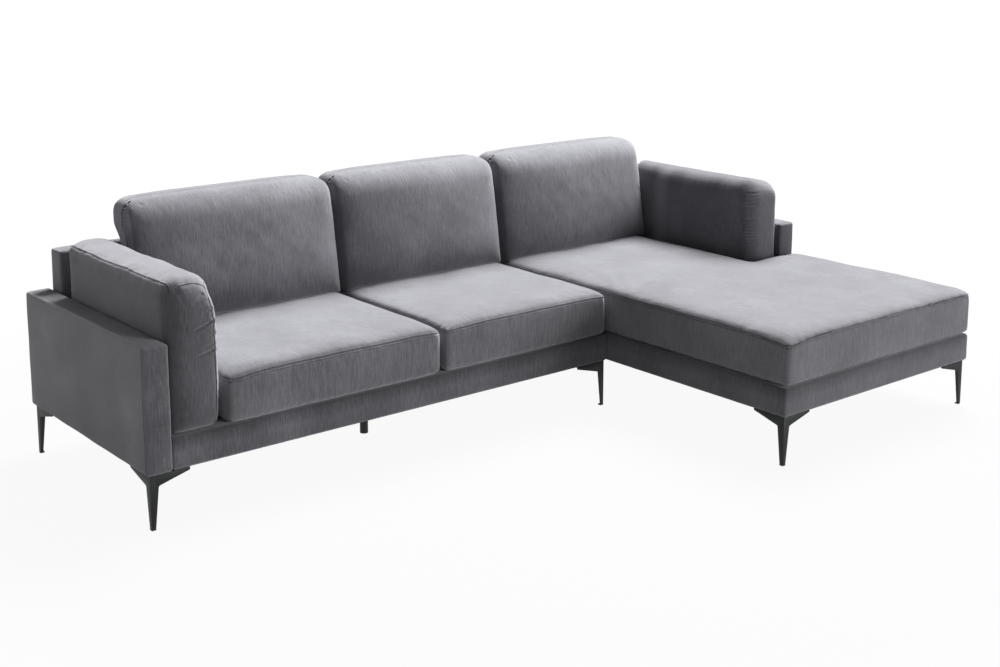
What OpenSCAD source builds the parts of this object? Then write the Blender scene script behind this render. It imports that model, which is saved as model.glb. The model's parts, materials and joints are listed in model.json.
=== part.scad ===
// Corner sofa of two modules: a sofa module with the left arm, and a chaise module with the right arm.
// Millimetres. X runs along the back to the right, Y from the chaise's front to the back, Z up from the floor.
// The origin is under the middle of the whole sofa, on the floor.

/* [Overall] */
// Width over both arms
sofa_w = 2880; // [2600:10:3300]
// Depth of the arms, from their front to their rear
sofa_d = 870; // [820:5:980]
// Width of the chaise module
chaise_w = 1039; // [960:5:1160]
// How far the chaise base runs out in front of the arms
chaise_out = 833; // [600:5:1000]

/* [Base] */
// Height of the legs
leg_h = 170; // [130:1:200]
// Height of the upholstered base band
base_h = 100; // [90:1:140]
// How far the front of the sofa base lies behind the front of the arms
base_setback = 6; // [2:1:14]
// Corner radius of the upholstered base, arms and backs
panel_r = 12; // [6:1:18]
// Upholstery cloth together with the felt under it
cover_t = 6; // [4:0.5:8]
// Thickness of the timber rails
rail_t = 24; // [18:1:30]
// Width of the timber rail that carries the back
back_rail_w = 50; // [40:1:60]
// Side of the timber blocks in the corners
block_w = 150; // [130:1:180]
// Height of the timber blocks in the corners
block_h = 40; // [32:1:55]
// Dust cover under the base
dust_t = 2; // [1:0.5:3]
// Foam pad on the webbing
deck_pad_t = 12; // [8:1:20]
// Thickness of a webbing strap
strap_t = 2; // [1.5:0.5:3]
// Width of a webbing strap
strap_w = 50; // [40:1:60]
// Largest distance from one strap to the next, middle to middle
strap_pitch = 125; // [100:5:170]

/* [Arms and backs] */
// Thickness of an arm
arm_w = 84; // [70:1:110]
// Height of an arm's top over the floor
arm_top = 560; // [500:1:640]
// Height of the back's top over the floor
back_top = 700; // [640:1:780]
// Thickness of the back
back_t = 78; // [66:1:100]
// How far the back's rear lies in front of the arms' rear
back_setback = 22; // [10:1:40]
// Width of the posts in the arm and back frames
post_w = 60; // [45:1:80]
// Height of the bottom rails in the arm and back frames
foot_rail_h = 80; // [70:1:110]
// Boards on both faces of the arm and back frames
board_t = 4; // [3:0.5:6]

/* [Seat cushions] */
// Height of a seat cushion at its edge
seat_h = 145; // [110:1:180]
// How much a seat cushion rises from its edge to its middle
seat_crown = 23; // [8:1:30]
// Width of the middle seat cushion
middle_seat_w = 748; // [680:2:820]
// How far the seat cushions stand out over the base in front and at the chaise's right side
seat_overhang = 7; // [2:1:15]
// Gap between cushions that stand side by side
cushion_gap = 8; // [4:1:14]
// Corner radius of the seat cushions, seen from above
seat_corner_r = 30; // [20:1:45]
// Radius of the seat cushions' edges
seat_edge_r = 14; // [8:1:18]
// How far the cushions' sides draw in between their corners
side_draw = 3; // [0:0.5:5]

/* [Arm cushions] */
// Thickness of an arm cushion at its edges
arm_pad_t = 164; // [140:2:200]
// How much an arm cushion swells on its inner face
arm_pad_swell = 6; // [2:1:20]
// Height of an arm cushion
arm_pad_h = 480; // [400:2:520]
// Length of an arm cushion
arm_pad_l = 715; // [640:5:740]
// Radius of an arm cushion's upper front corner, seen from the side
arm_pad_r = 62; // [40:1:90]
// Corner radius of the arm cushions, seen from above
arm_pad_corner_r = 32; // [24:2:60]
// How far the arm cushions stand back from the arms' front
arm_pad_setback = 5; // [1:1:20]

/* [Back cushions] */
// Height of a back cushion
back_pad_h = 428; // [380:2:500]
// Thickness of a back cushion at its foot
back_pad_t = 182; // [150:1:210]
// Thickness of a back cushion at its top, before it rounds off
back_pad_top_t = 163; // [130:1:180]
// How far a back cushion sags over the back's top
back_pad_sag = 50; // [30:1:68]
// Radius of a back cushion's upper corners, seen from the front
back_pad_r = 40; // [30:2:90]
// How much a back cushion swells in front
back_pad_swell = 22; // [10:1:40]
// How far a back cushion's ends lie inside its seat cushion's ends
back_pad_inset = 1; // [1:1:8]
// How far the left back cushion stands off the left end of its seat cushion
left_back_inset = 16; // [8:1:60]
// How far the right back cushion stands off the left end of the chaise cushion
right_back_inset = 4; // [1:1:20]
// Gap between the right back cushion and the right arm cushion
back_arm_gap = 3; // [2:1:8]

/* [Cushion fillings] */
// Least thickness of a cushion's cover with its wadding
wadding_t = 24; // [22:1:32]

/* [Legs and fixings] */
// Thickness of the leg's steel plate
plate_t = 4; // [3:0.5:5]
// How far the legs stand in from the corners
leg_inset = 12; // [10:1:30]
// Width of a leg at the floor
leg_foot_w = 14; // [12:1:20]
// Width of a leg under its wings
leg_neck_w = 28; // [24:1:40]
// Length of a leg's wings
wing_l = 130; // [116:1:150]
// Height of a leg's wings where they leave the leg
wing_h = 37; // [28:1:48]
// Height of a leg's wings at their ends
wing_end_h = 10; // [6:1:14]
// Height of the glides
glide_h = 4; // [3:0.5:6]
// Diameter of the middle foot
foot_d = 29; // [24:1:36]
// Diameter of the middle foot's flange
foot_flange_d = 74; // [66:1:90]
// Distance from the sofa's front to the middle foot
foot_y = 326; // [250:5:420]
// Diameter of the leg screws
screw_d = 6; // [5:0.5:7]
// Length of the leg screws' shanks
screw_l = 34; // [28:1:36]
// Diameter of the bolts in the arms and backs
bolt_d = 8; // [6:0.5:10]
// Height of the arm bolts over the underside of the base
arm_bolt_z = 52; // [48:1:56]
// Length of the plates that link the modules, across the joint
link_l = 84; // [70:1:100]
// Width of the plates that link the modules
link_w = 60; // [50:1:80]
// From a leg's outer corner to the screws next to it
screw_near = 34; // [30:1:44]
// From the end of a wing to the far screw
screw_end = 36; // [30:1:44]
// From the edge of a plate to its screws
plate_margin = 12; // [9:1:16]
// From an end of a base to the back bolts next to it
back_bolt_end = 90; // [70:5:120]
// How far the middle back bolt lies beside the middle of the sofa base
back_bolt_shift = 60; // [40:5:100]
// From the corner block to the front arm bolt, and from the back to the rear one
arm_bolt_room = 30; // [20:5:60]

/* [Hidden] */
// Clearances
fit_gap = 0.3;
screw_gap = 0.1;

// Heights
base_bottom = leg_h;
base_top = base_bottom + base_h;
deck_top = base_top - cover_t - fit_gap;
web_top = deck_top - deck_pad_t;
rail_bottom = base_bottom + dust_t + fit_gap;
rail_top = web_top - 2 * strap_t;
seat_bottom = base_top + fit_gap;
seat_top = seat_bottom + seat_h;
back_pad_bottom = seat_top + seat_crown + fit_gap;
frame_gap = cover_t + fit_gap;

// Places along X, from the left arm's outer face
chaise_x = sofa_w - chaise_w;
right_arm_x = sofa_w - arm_w;
arm_pad_x = arm_w + fit_gap;
arm_pad_end = arm_pad_x + arm_pad_t + arm_pad_swell;
left_seat_x = arm_pad_end + cushion_gap + side_draw;
chaise_seat_x = chaise_x;
middle_seat_x = chaise_x - cushion_gap - middle_seat_w;
notch_x = sofa_w - left_seat_x;
foot_shift = 10;
foot_x = arm_w + (chaise_x - arm_w) / 2 + foot_shift;

// Places along Y, from the front of the arms
back_rear = sofa_d - back_setback;
back_front = back_rear - back_t;
back_mid = back_rear - back_t / 2;
seat_rear = back_front - fit_gap;
chaise_front = -chaise_out;
arm_pad_front = arm_pad_setback;
notch_y = -cushion_gap;

// From the left arm's front to the point under the sofa's middle
middle = [(sofa_w + seat_overhang) / 2, (sofa_d + chaise_front - seat_overhang) / 2, 0];

// Drawing steps: on an arc, and along a straight side
arc_steps = 3;
side_steps = 5;
$fn = 32;

// Each leg: its outer corner, and the turn that points its wings along the base's sides
LEG_PLACES = [
    [leg_inset, leg_inset, 0],
    [leg_inset, sofa_d - leg_inset, 270],
    [chaise_x - leg_inset, leg_inset, 90],
    [chaise_x - leg_inset, sofa_d - leg_inset, 180],
    [chaise_x + leg_inset, chaise_front + leg_inset, 0],
    [sofa_w - leg_inset, chaise_front + leg_inset, 90],
    [chaise_x + leg_inset, sofa_d - leg_inset, 270],
    [sofa_w - leg_inset, sofa_d - leg_inset, 180]
];
// The screws in a leg's top plate, from the leg's outer corner
screw_far = wing_l - screw_end;
LEG_SCREWS = [[screw_near, screw_near], [screw_far, screw_near], [screw_near, screw_far]];
// The middle foot's screws and the link plates' screws, from their middles
FOOT_SCREWS = [[0, plate_margin - foot_flange_d / 2], [0, foot_flange_d / 2 - plate_margin]];
link_screw_x = frame_gap + rail_t / 2;
link_screw_y = link_w / 2 - plate_margin;
LINK_PLACES = [[chaise_x, sofa_d * 0.3], [chaise_x, sofa_d * 0.75]];
LINK_SCREWS = [for (sx = [-1, 1], sy = [-1, 1]) [sx * link_screw_x, sy * link_screw_y]];

// Bolts: the arm bolts' places along Y, the back bolts' places along X
ARM_BOLT_Y = [block_w + arm_bolt_room, back_front - 2 * arm_bolt_room];
bolt_head_d = bolt_d * 2;
bolt_head_h = bolt_d * 0.65;
bolt_bite = 36;
SOFA_BACK_BOLT_X = [arm_w + back_bolt_end, (arm_w + chaise_x) / 2 - back_bolt_shift, chaise_x - back_bolt_end];
CHAISE_BACK_BOLT_X = [chaise_x + back_bolt_end, right_arm_x - back_bolt_end];

cloth = "#8c8c90";
timber = "#c9a878";
hardboard = "#9a7550";
strap_cloth = "#3a3a3c";
dust_cloth = "#1e1e20";
foam = "#e6dfc8";
black_steel = "#1e2224";
zinc = "#a8acb0";

// A closed outline with round corners. A corner is [x, y, radius], counterclockwise. An outline point is
// [place, outward direction, share of the way from a side's ends to its middle, number of its side].
function unit2(v) = v / norm(v);
function outline(corners, arc_n = arc_steps, side_n = side_steps) = [
    for (i = [0 : len(corners) - 1])
        let (
            count = len(corners),
            c = corners[i],
            before = corners[(i + count - 1) % count],
            after = corners[(i + 1) % count],
            u = unit2([c.x - before.x, c.y - before.y]),
            v = unit2([after.x - c.x, after.y - c.y]),
            turn = sign(u.x * v.y - u.y * v.x),
            here = [c.x, c.y],
            hub = here + (v - u) * c.z,
            start = here + v * c.z,
            end = [after.x, after.y] - v * after.z
        )
        each concat(
            [
                for (k = [0 : arc_n])
                    let (turned = u * sin(90 * k / arc_n) - v * cos(90 * k / arc_n))
                    [hub + turned * c.z, turned * turn, 0, i]
            ],
            [
                for (k = [1 : 1 : side_n])
                    let (s = k / (side_n + 1))
                    [start + (end - start) * s, [v.y, -v.x], sin(180 * s), i]
            ]
        )
];
function flat_outline(corners) = [for (p = outline(corners, 6, 0)) p[0]];
function rect(low, high, r) = [[low.x, low.y, r], [high.x, low.y, r], [high.x, high.y, r], [low.x, high.y, r]];

// One ring of a soft form at height z: the outline, swollen on each side by that side's amount
function ring(corners, swell, z) = [
    for (o = outline(corners)) let (p = o[0] + o[1] * o[2] * swell[o[3]]) [p.x, p.y, z]
];
// The same ring drawn together towards a point, and raised
function drawn(level, hub, share, rise) = [
    for (p = level) [hub.x + (p.x - hub.x) * share, hub.y + (p.y - hub.y) * share, p.z + rise]
];

// A closed skin over a stack of rings, from the lowest to the highest, closed by a point at each end
module ring_stack(rings, low_point, high_point) {
    n = len(rings[0]);
    points = concat([low_point], [for (level = rings) each level], [high_point]);
    last = len(points) - 1;
    top_ring = last - n;
    faces = concat(
        [for (k = [0 : n - 1]) [0, 1 + k, 1 + (k + 1) % n]],
        [
            for (r = [0 : len(rings) - 2], k = [0 : n - 1])
                let (a = 1 + r * n + k, b = 1 + r * n + (k + 1) % n)
                each [[a, a + n, b + n], [a, b + n, b]]
        ],
        [for (k = [0 : n - 1]) [last, top_ring + (k + 1) % n, top_ring + k]]
    );
    polyhedron(points, faces);
}

// A box seat cushion: round edges, drawn-in sides, and a crown that rises quickly from the edge
crown_shares = [0.965, 0.89, 0.55];
function crown_rise(share) = seat_crown * (1 - pow(share, 16));
module seat_form(outer, hub) {
    inset_45 = seat_edge_r * (1 - cos(45));
    in_draw = [for (i = [0 : 5]) -side_draw];
    half_draw = [for (i = [0 : 5]) -side_draw / 3];
    top_edge = ring(inset_corners(outer, seat_edge_r), in_draw, seat_top);
    ring_stack(
        concat(
            [
                ring(inset_corners(outer, seat_edge_r), in_draw, seat_bottom),
                ring(inset_corners(outer, inset_45), in_draw, seat_bottom + inset_45),
                ring(outer, in_draw, seat_bottom + seat_edge_r),
                ring(outer, half_draw, seat_bottom + seat_h / 2),
                ring(outer, in_draw, seat_top - seat_edge_r),
                ring(inset_corners(outer, inset_45), in_draw, seat_top - inset_45),
                top_edge
            ],
            [for (share = crown_shares) drawn(top_edge, hub, share, crown_rise(share))]
        ),
        [hub.x, hub.y, seat_bottom],
        [hub.x, hub.y, seat_top + seat_crown]
    );
}
// The corners of an outline whose sides run along X and Y, moved inwards by d
function inset_corners(corners, d) = [
    for (i = [0 : len(corners) - 1])
        let (
            count = len(corners),
            c = corners[i],
            before = corners[(i + count - 1) % count],
            after = corners[(i + 1) % count],
            u = unit2([c.x - before.x, c.y - before.y]),
            v = unit2([after.x - c.x, after.y - c.y]),
            turn = sign(u.x * v.y - u.y * v.x)
        )
        [c.x - (u.y + v.y) * d, c.y + (u.x + v.x) * d, max(1, c.z - turn * d)]
];

// A cushion's filling and the room for it
module block(low, high, grow = 0) {
    translate(low - [grow, grow, grow]) cube(high - low + 2 * [grow, grow, grow]);
}
function seat_core_low(x) = [x + wadding_t, -seat_overhang + wadding_t, seat_bottom + wadding_t / 2];
function seat_core_high(x) = [x - wadding_t, seat_rear - wadding_t, seat_top - wadding_t / 2];

// A seat cushion between two places along X
module seat_cushion(x0, x1) {
    difference() {
        seat_form(
            rect([x0, -seat_overhang], [x1, seat_rear], seat_corner_r),
            [(x0 + x1) / 2, (seat_rear - seat_overhang) / 2]
        );
        block(seat_core_low(x0), seat_core_high(x1), fit_gap);
    }
}
module left_seat_cushion() color(cloth) seat_cushion(left_seat_x, middle_seat_x - cushion_gap);
module left_seat_foam() color(foam)
    block(seat_core_low(left_seat_x), seat_core_high(middle_seat_x - cushion_gap));
module middle_seat_cushion() color(cloth) seat_cushion(middle_seat_x, middle_seat_x + middle_seat_w);
module middle_seat_foam() color(foam)
    block(seat_core_low(middle_seat_x), seat_core_high(middle_seat_x + middle_seat_w));

// The chaise cushion: an L that leaves the right arm and its cushion free
chaise_seat_corners = [
    [chaise_seat_x, chaise_front - seat_overhang, seat_corner_r],
    [sofa_w + seat_overhang, chaise_front - seat_overhang, seat_corner_r],
    [sofa_w + seat_overhang, notch_y, seat_corner_r],
    [notch_x, notch_y, seat_corner_r],
    [notch_x, seat_rear, seat_corner_r],
    [chaise_seat_x, seat_rear, seat_corner_r]
];
chaise_hub = [(chaise_seat_x + notch_x) / 2, -chaise_out * 0.2];
module chaise_core(grow = 0) {
    low_z = seat_bottom + wadding_t / 2 - grow;
    translate([0, 0, low_z]) linear_extrude(seat_top - wadding_t / 2 + grow - low_z)
        polygon(flat_outline(inset_corners(chaise_seat_corners, wadding_t - grow)));
}
module chaise_cushion() color(cloth) difference() {
    seat_form(chaise_seat_corners, chaise_hub);
    chaise_core(fit_gap);
}
module chaise_foam() color(foam) chaise_core();

// The arm cushions stand on their edge against the arms. Rings from the foot to the top: each holds its share of
// the height, how far its outline is drawn in, how far its front is drawn back, and its share of the swell.
function arm_ring(share, inset, back, swell_share) =
    ring(
        rect(
            [arm_pad_x + inset, arm_pad_front + max(inset, back)],
            [arm_pad_x + arm_pad_t - inset, arm_pad_front + arm_pad_l - max(inset, back * 0.7)],
            arm_pad_corner_r - inset * 0.6
        ),
        [0, arm_pad_swell * swell_share, 0, side_draw * -swell_share],
        seat_bottom + arm_pad_h * share
    );
// The radius of its edges, and how far its last rings lie under its highest point
arm_edge_r = 16;
arm_top_drop = 14;
module arm_pad_form() {
    r = arm_pad_r;
    h = arm_pad_h;
    hub = [arm_pad_x + arm_pad_t / 2, arm_pad_front + arm_pad_l / 2];
    rings = concat(
        [
            arm_ring(0, arm_edge_r, arm_edge_r, 0),
            arm_ring(arm_edge_r * 0.3 / h, arm_edge_r * 0.3, arm_edge_r * 0.3, 0.2),
            arm_ring(arm_edge_r * 1.1 / h, 0, 0, 0.45),
            arm_ring(0.2, 0, 0, 0.95),
            arm_ring(0.45, 0, 0, 1),
            arm_ring(0.7, 0, 0, 0.85)
        ],
        [
            for (t = [0, 25, 48, 70])
                arm_ring(
                    1 - ((r + arm_top_drop) * (1 - sin(t)) + arm_top_drop) / h,
                    arm_edge_r * t / 190, r * (1 - cos(t)), 0.6 - t / 140
                )
        ]
    );
    crest = arm_ring(1 - arm_top_drop / h, arm_edge_r, r * 1.15, 0);
    ring_stack(
        concat(rings, [crest, drawn(crest, hub, 0.7, arm_top_drop * 0.8)]),
        [hub.x, hub.y, seat_bottom],
        [hub.x, hub.y, seat_bottom + h]
    );
}
function arm_core_low() = [arm_pad_x + wadding_t, arm_pad_front + wadding_t, seat_bottom + wadding_t];
function arm_core_high() = [
    arm_pad_x + arm_pad_t - wadding_t,
    arm_pad_front + arm_pad_l - wadding_t,
    seat_bottom + arm_pad_h - arm_pad_r - wadding_t
];
module arm_cushion() difference() {
    arm_pad_form();
    block(arm_core_low(), arm_core_high(), fit_gap);
}
module to_right_end() translate([sofa_w, 0, 0]) mirror([1, 0, 0]) children();
module left_arm_cushion() color(cloth) arm_cushion();
module right_arm_cushion() color(cloth) to_right_end() arm_cushion();
module left_arm_foam() color(foam) block(arm_core_low(), arm_core_high());
module right_arm_foam() color(foam) to_right_end() block(arm_core_low(), arm_core_high());

// The back cushions lean on the back and sag over its top. Their front slopes, their rear is upright up to the
// back's top and then bulges to the rear.
top_slack = 5;
function smooth(t) = let (s = max(0, min(1, t))) s * s * (3 - 2 * s);
function back_pad_rear(z) = seat_rear + back_pad_sag * smooth((z - back_top - top_slack) / (back_pad_sag * 1.1));
front_lean = (back_pad_t + back_pad_sag - back_pad_top_t) / back_pad_h;
function back_pad_front(z) = seat_rear - back_pad_t + front_lean * (z - back_pad_bottom);
// A ring at height z, drawn in by inset at the ends, by nip in front and by tuck at the rear
function back_ring(x0, x1, z, inset, nip, tuck, swell) =
    let (front = back_pad_front(z) + nip, rear = back_pad_rear(z) - tuck)
    ring(
        rect([x0 + inset, front], [x1 - inset, rear], (rear - front) * 0.2),
        [swell, -side_draw, 0, -side_draw],
        z
    );
// The radius of its bottom edges, the radii of its top's front and rear edges, and its crest
back_edge_r = 24;
back_front_r = 34;
back_rear_r = 40;
back_top_drop = 8;
module back_pad_form(x0, x1) {
    bottom = back_pad_bottom;
    top = back_pad_bottom + back_pad_h;
    r = back_pad_r;
    bend = back_top + top_slack;
    hub_y = (back_pad_front(top) + back_pad_rear(top)) / 2;
    crest = back_ring(x0, x1, top - back_top_drop, r * 0.95, back_front_r, back_rear_r, 0);
    hub = [(x0 + x1) / 2, hub_y];
    ring_stack(
        concat(
            [
                back_ring(x0, x1, bottom, back_edge_r, back_edge_r, back_edge_r, 0),
                back_ring(x0, x1, bottom + back_edge_r * 0.3, back_edge_r * 0.3, back_edge_r * 0.3,
                    back_edge_r * 0.2, back_pad_swell * 0.25),
                back_ring(x0, x1, bottom + back_edge_r * 1.2, 0, 0, 0, back_pad_swell * 0.6),
                back_ring(x0, x1, bottom + back_pad_h * 0.25, 0, 0, 0, back_pad_swell),
                back_ring(x0, x1, bottom + back_pad_h * 0.45, 0, 0, 0, back_pad_swell),
                back_ring(x0, x1, bend, 0, 0, 0, back_pad_swell * 0.8)
            ],
            [
                for (t = [20, 42, 60, 75])
                    let (z = bend + (top - back_top_drop - bend) * sin(t), nip = 1 - cos(t))
                    back_ring(x0, x1, z, r * nip * 0.95, back_front_r * nip, back_rear_r * nip,
                        back_pad_swell * cos(t) * 0.7)
            ],
            [crest, drawn(crest, hub, 0.75, back_top_drop * 0.75)]
        ),
        [hub.x, seat_rear - back_pad_t / 2, bottom],
        [hub.x, hub.y, top]
    );
}
// The filling's outline seen from the side, with the room around it
function back_core_profile(grow) =
    let (low = back_pad_bottom + wadding_t - grow, high = back_top - wadding_t + grow, t = wadding_t - grow)
    [
        [back_pad_front(low) + t, low], [seat_rear - t, low],
        [seat_rear - t, high], [back_pad_front(high) + t, high]
    ];
module back_core(x0, x1, grow = 0) {
    end_gap = back_pad_r * 0.5 - grow;
    translate([x0 + end_gap, 0, 0]) rotate([90, 0, 90])
        linear_extrude(x1 - x0 - 2 * end_gap) polygon(back_core_profile(grow));
}
module back_cushion(x0, x1) difference() {
    back_pad_form(x0, x1);
    back_core(x0, x1, fit_gap);
}
left_back_span = [left_seat_x + left_back_inset, middle_seat_x - cushion_gap - back_pad_inset];
middle_back_span = [middle_seat_x + back_pad_inset, middle_seat_x + middle_seat_w - back_pad_inset];
right_back_span = [chaise_seat_x + right_back_inset, sofa_w - arm_pad_end - back_arm_gap];
module left_back_cushion() color(cloth) back_cushion(left_back_span[0], left_back_span[1]);
module middle_back_cushion() color(cloth) back_cushion(middle_back_span[0], middle_back_span[1]);
module right_back_cushion() color(cloth) back_cushion(right_back_span[0], right_back_span[1]);
module left_back_filling() color(foam) back_core(left_back_span[0], left_back_span[1]);
module middle_back_filling() color(foam) back_core(middle_back_span[0], middle_back_span[1]);
module right_back_filling() color(foam) back_core(right_back_span[0], right_back_span[1]);

// The bases' outlines, moved inwards by d
function sofa_base_corners(d) =
    inset_corners(rect([arm_w, base_setback], [chaise_x, sofa_d], panel_r), d);
function chaise_base_corners(d) =
    inset_corners([
        [chaise_x, chaise_front, panel_r], [sofa_w, chaise_front, panel_r], [sofa_w, 0, panel_r],
        [right_arm_x, 0, panel_r], [right_arm_x, sofa_d, panel_r], [chaise_x, sofa_d, panel_r]
    ], d);
// A slab over an outline between two heights
module slab(corners, z0, z1) {
    translate([0, 0, z0]) linear_extrude(z1 - z0) polygon(flat_outline(corners));
}
// A timber frame inside an outline
module rail_ring(outer, inner, z0, z1) {
    difference() {
        slab(outer, z0, z1);
        slab(inner, z0 - 1, z1 + 1);
    }
}

// A screw's hole or its solid, upwards from z = 0
module up_holes(places, hub, turn, z, length, d) {
    for (p = places)
        translate([hub.x, hub.y, z]) rotate([0, 0, turn]) translate([p.x, p.y, 0]) cylinder(h = length, d = d);
}
// All screws of the legs, the middle foot and the link plates: their shanks, with the room around them
module screw_shanks(room = 0) {
    z = base_bottom - plate_t - room;
    length = plate_t + screw_l + 2 * room;
    d = screw_d + 2 * room;
    for (leg = LEG_PLACES) up_holes(LEG_SCREWS, leg, leg.z, z, length, d);
    up_holes(FOOT_SCREWS, [foot_x, foot_y], 0, z, length, d);
    for (link = LINK_PLACES) up_holes(LINK_SCREWS, link, 0, z, length, d);
}
screw_head_h = 3;
module leg_screws() color(zinc) {
    z = base_bottom - plate_t - screw_head_h;
    screw_shanks();
    for (leg = LEG_PLACES) up_holes(LEG_SCREWS, leg, leg.z, z, screw_head_h, screw_d * 2);
    up_holes(FOOT_SCREWS, [foot_x, foot_y], 0, z, screw_head_h, screw_d * 2);
    for (link = LINK_PLACES) up_holes(LINK_SCREWS, link, 0, z, screw_head_h, screw_d * 2);
}

// The arm bolts reach from inside the base into the arm's bottom rail
arm_bolt_end = arm_w + frame_gap + rail_t;
arm_bolt_start = arm_w - frame_gap - board_t - bolt_bite;
module left_arm_bolts(room = 0) {
    for (y = ARM_BOLT_Y)
        translate([arm_bolt_start - room, y, base_bottom + arm_bolt_z]) rotate([0, 90, 0])
            cylinder(h = arm_bolt_end - arm_bolt_start + 2 * room, d = bolt_d + 2 * room);
}
module left_arm_bolt_heads() {
    for (y = ARM_BOLT_Y)
        translate([arm_bolt_end, y, base_bottom + arm_bolt_z]) rotate([0, 90, 0])
            cylinder(h = bolt_head_h, d = bolt_head_d);
}
module arm_bolts() color(zinc) {
    left_arm_bolts();
    left_arm_bolt_heads();
    to_right_end() left_arm_bolts();
    to_right_end() left_arm_bolt_heads();
}
// The back bolts reach from a recess under the base's back rail into the back's bottom rail
back_bolt_top = base_top + cover_t + bolt_bite;
module back_bolt_shanks(places, room = 0) {
    z = rail_bottom + bolt_head_h - room;
    for (x = places) translate([x, back_mid, z]) cylinder(h = back_bolt_top - z + room, d = bolt_d + 2 * room);
}
module back_bolt_recesses(places, room = 0) {
    for (x = places)
        translate([x, back_mid, rail_bottom - room]) cylinder(h = bolt_head_h + 2 * room, d = bolt_head_d + 2 * room);
}
module back_bolts() color(zinc) for (places = [SOFA_BACK_BOLT_X, CHAISE_BACK_BOLT_X]) {
    back_bolt_shanks(places);
    back_bolt_recesses(places);
}
// The room for every bolt and screw, cut out of what they pass through
module fixing_room() {
    screw_shanks(screw_gap);
    left_arm_bolts(screw_gap);
    to_right_end() left_arm_bolts(screw_gap);
    for (places = [SOFA_BACK_BOLT_X, CHAISE_BACK_BOLT_X]) {
        back_bolt_shanks(places, screw_gap);
        back_bolt_recesses(places, screw_gap);
    }
}

// A timber block in a corner of a base, from the corner's place towards dx and dy
module corner_block(x, y, dx, dy) {
    translate([min(x, x + dx * block_w), min(y, y + dy * block_w), rail_bottom]) cube([block_w, block_w, block_h]);
}
module cross_rail(x, y0, y1, z1 = rail_top) {
    translate([x - rail_t / 2, y0, rail_bottom]) cube([rail_t, y1 - y0, z1 - rail_bottom]);
}
module back_rail(x0, x1) {
    translate([x0, back_mid - back_rail_w / 2, rail_bottom]) cube([x1 - x0, back_rail_w, deck_top - rail_bottom]);
}
module sofa_base_frame() color(timber) difference() {
    union() {
        rail_ring(sofa_base_corners(frame_gap), sofa_base_corners(frame_gap + rail_t), rail_bottom, rail_top);
        inner_l = arm_w + frame_gap + rail_t / 2;
        inner_r = chaise_x - frame_gap - rail_t / 2;
        front = base_setback + frame_gap + rail_t / 2;
        rear = sofa_d - frame_gap - rail_t / 2;
        corner_block(inner_l, front, 1, 1);
        corner_block(inner_r, front, -1, 1);
        corner_block(inner_l, rear, 1, -1);
        corner_block(inner_r, rear, -1, -1);
        cross_rail(foot_x, front, rear);
        for (x = [inner_l + (foot_x - inner_l) / 2, foot_x + (inner_r - foot_x) / 2]) cross_rail(x, front, rear);
        back_rail(inner_l, inner_r);
        translate([foot_x - foot_flange_d / 2, foot_y - foot_flange_d / 2, rail_bottom])
            cube([foot_flange_d, foot_flange_d, block_h]);
    }
    fixing_room();
}
module chaise_base_frame() color(timber) difference() {
    union() {
        rail_ring(chaise_base_corners(frame_gap), chaise_base_corners(frame_gap + rail_t), rail_bottom, rail_top);
        inner_l = chaise_x + frame_gap + rail_t / 2;
        inner_r = right_arm_x - frame_gap - rail_t / 2;
        outer_r = sofa_w - frame_gap - rail_t / 2;
        front = chaise_front + frame_gap + rail_t / 2;
        rear = sofa_d - frame_gap - rail_t / 2;
        corner_block(inner_l, front, 1, 1);
        corner_block(outer_r, front, -1, 1);
        corner_block(inner_l, rear, 1, -1);
        corner_block(inner_r, rear, -1, -1);
        for (y = [front + (-frame_gap - front) / 2, -frame_gap - rail_t / 2])
            translate([inner_l, y - rail_t / 2, rail_bottom]) cube([outer_r - inner_l, rail_t, rail_top - rail_bottom]);
        cross_rail((inner_l + inner_r) / 2, -frame_gap - rail_t, back_mid);
        back_rail(inner_l, inner_r);
    }
    fixing_room();
}

// Straps across a frame. Those along Y lie on the rails, those along X on top of them.
function strap_places(from, to) =
    let (room = to - from - strap_w, count = ceil(room / strap_pitch))
    [for (i = [0 : count]) from + room * i / count];
module straps_y(x0, x1, y0, y1) {
    for (x = strap_places(x0, x1)) translate([x, y0, rail_top]) cube([strap_w, y1 - y0, strap_t]);
}
module straps_x(x0, x1, y0, y1) {
    for (y = strap_places(y0, y1)) translate([x0, y, rail_top + strap_t]) cube([x1 - x0, strap_w, strap_t]);
}
web_rear = back_mid - back_rail_w / 2 - fit_gap;
strap_margin = 40;
module sofa_seat_webbing() color(strap_cloth) {
    x0 = arm_w + frame_gap;
    x1 = chaise_x - frame_gap;
    y0 = base_setback + frame_gap;
    straps_y(x0 + strap_margin, x1 - strap_margin, y0, web_rear);
    straps_x(x0, x1, y0 + strap_margin, web_rear - strap_margin);
}
module chaise_seat_webbing() color(strap_cloth) {
    x0 = chaise_x + frame_gap;
    y0 = chaise_front + frame_gap;
    straps_y(x0 + strap_margin, right_arm_x - frame_gap - strap_margin, y0, web_rear);
    straps_x(x0, sofa_w - frame_gap, y0 + strap_margin, -frame_gap - strap_margin);
    straps_x(x0, right_arm_x - frame_gap, strap_margin, web_rear - strap_margin);
}
module deck_pad(corners) intersection() {
    slab(corners, web_top, deck_top);
    translate([0, chaise_front, web_top]) cube([sofa_w, web_rear - chaise_front, deck_pad_t]);
}
module sofa_deck_pad() color(foam) deck_pad(sofa_base_corners(frame_gap));
module chaise_deck_pad() color(foam) deck_pad(chaise_base_corners(frame_gap));

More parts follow.
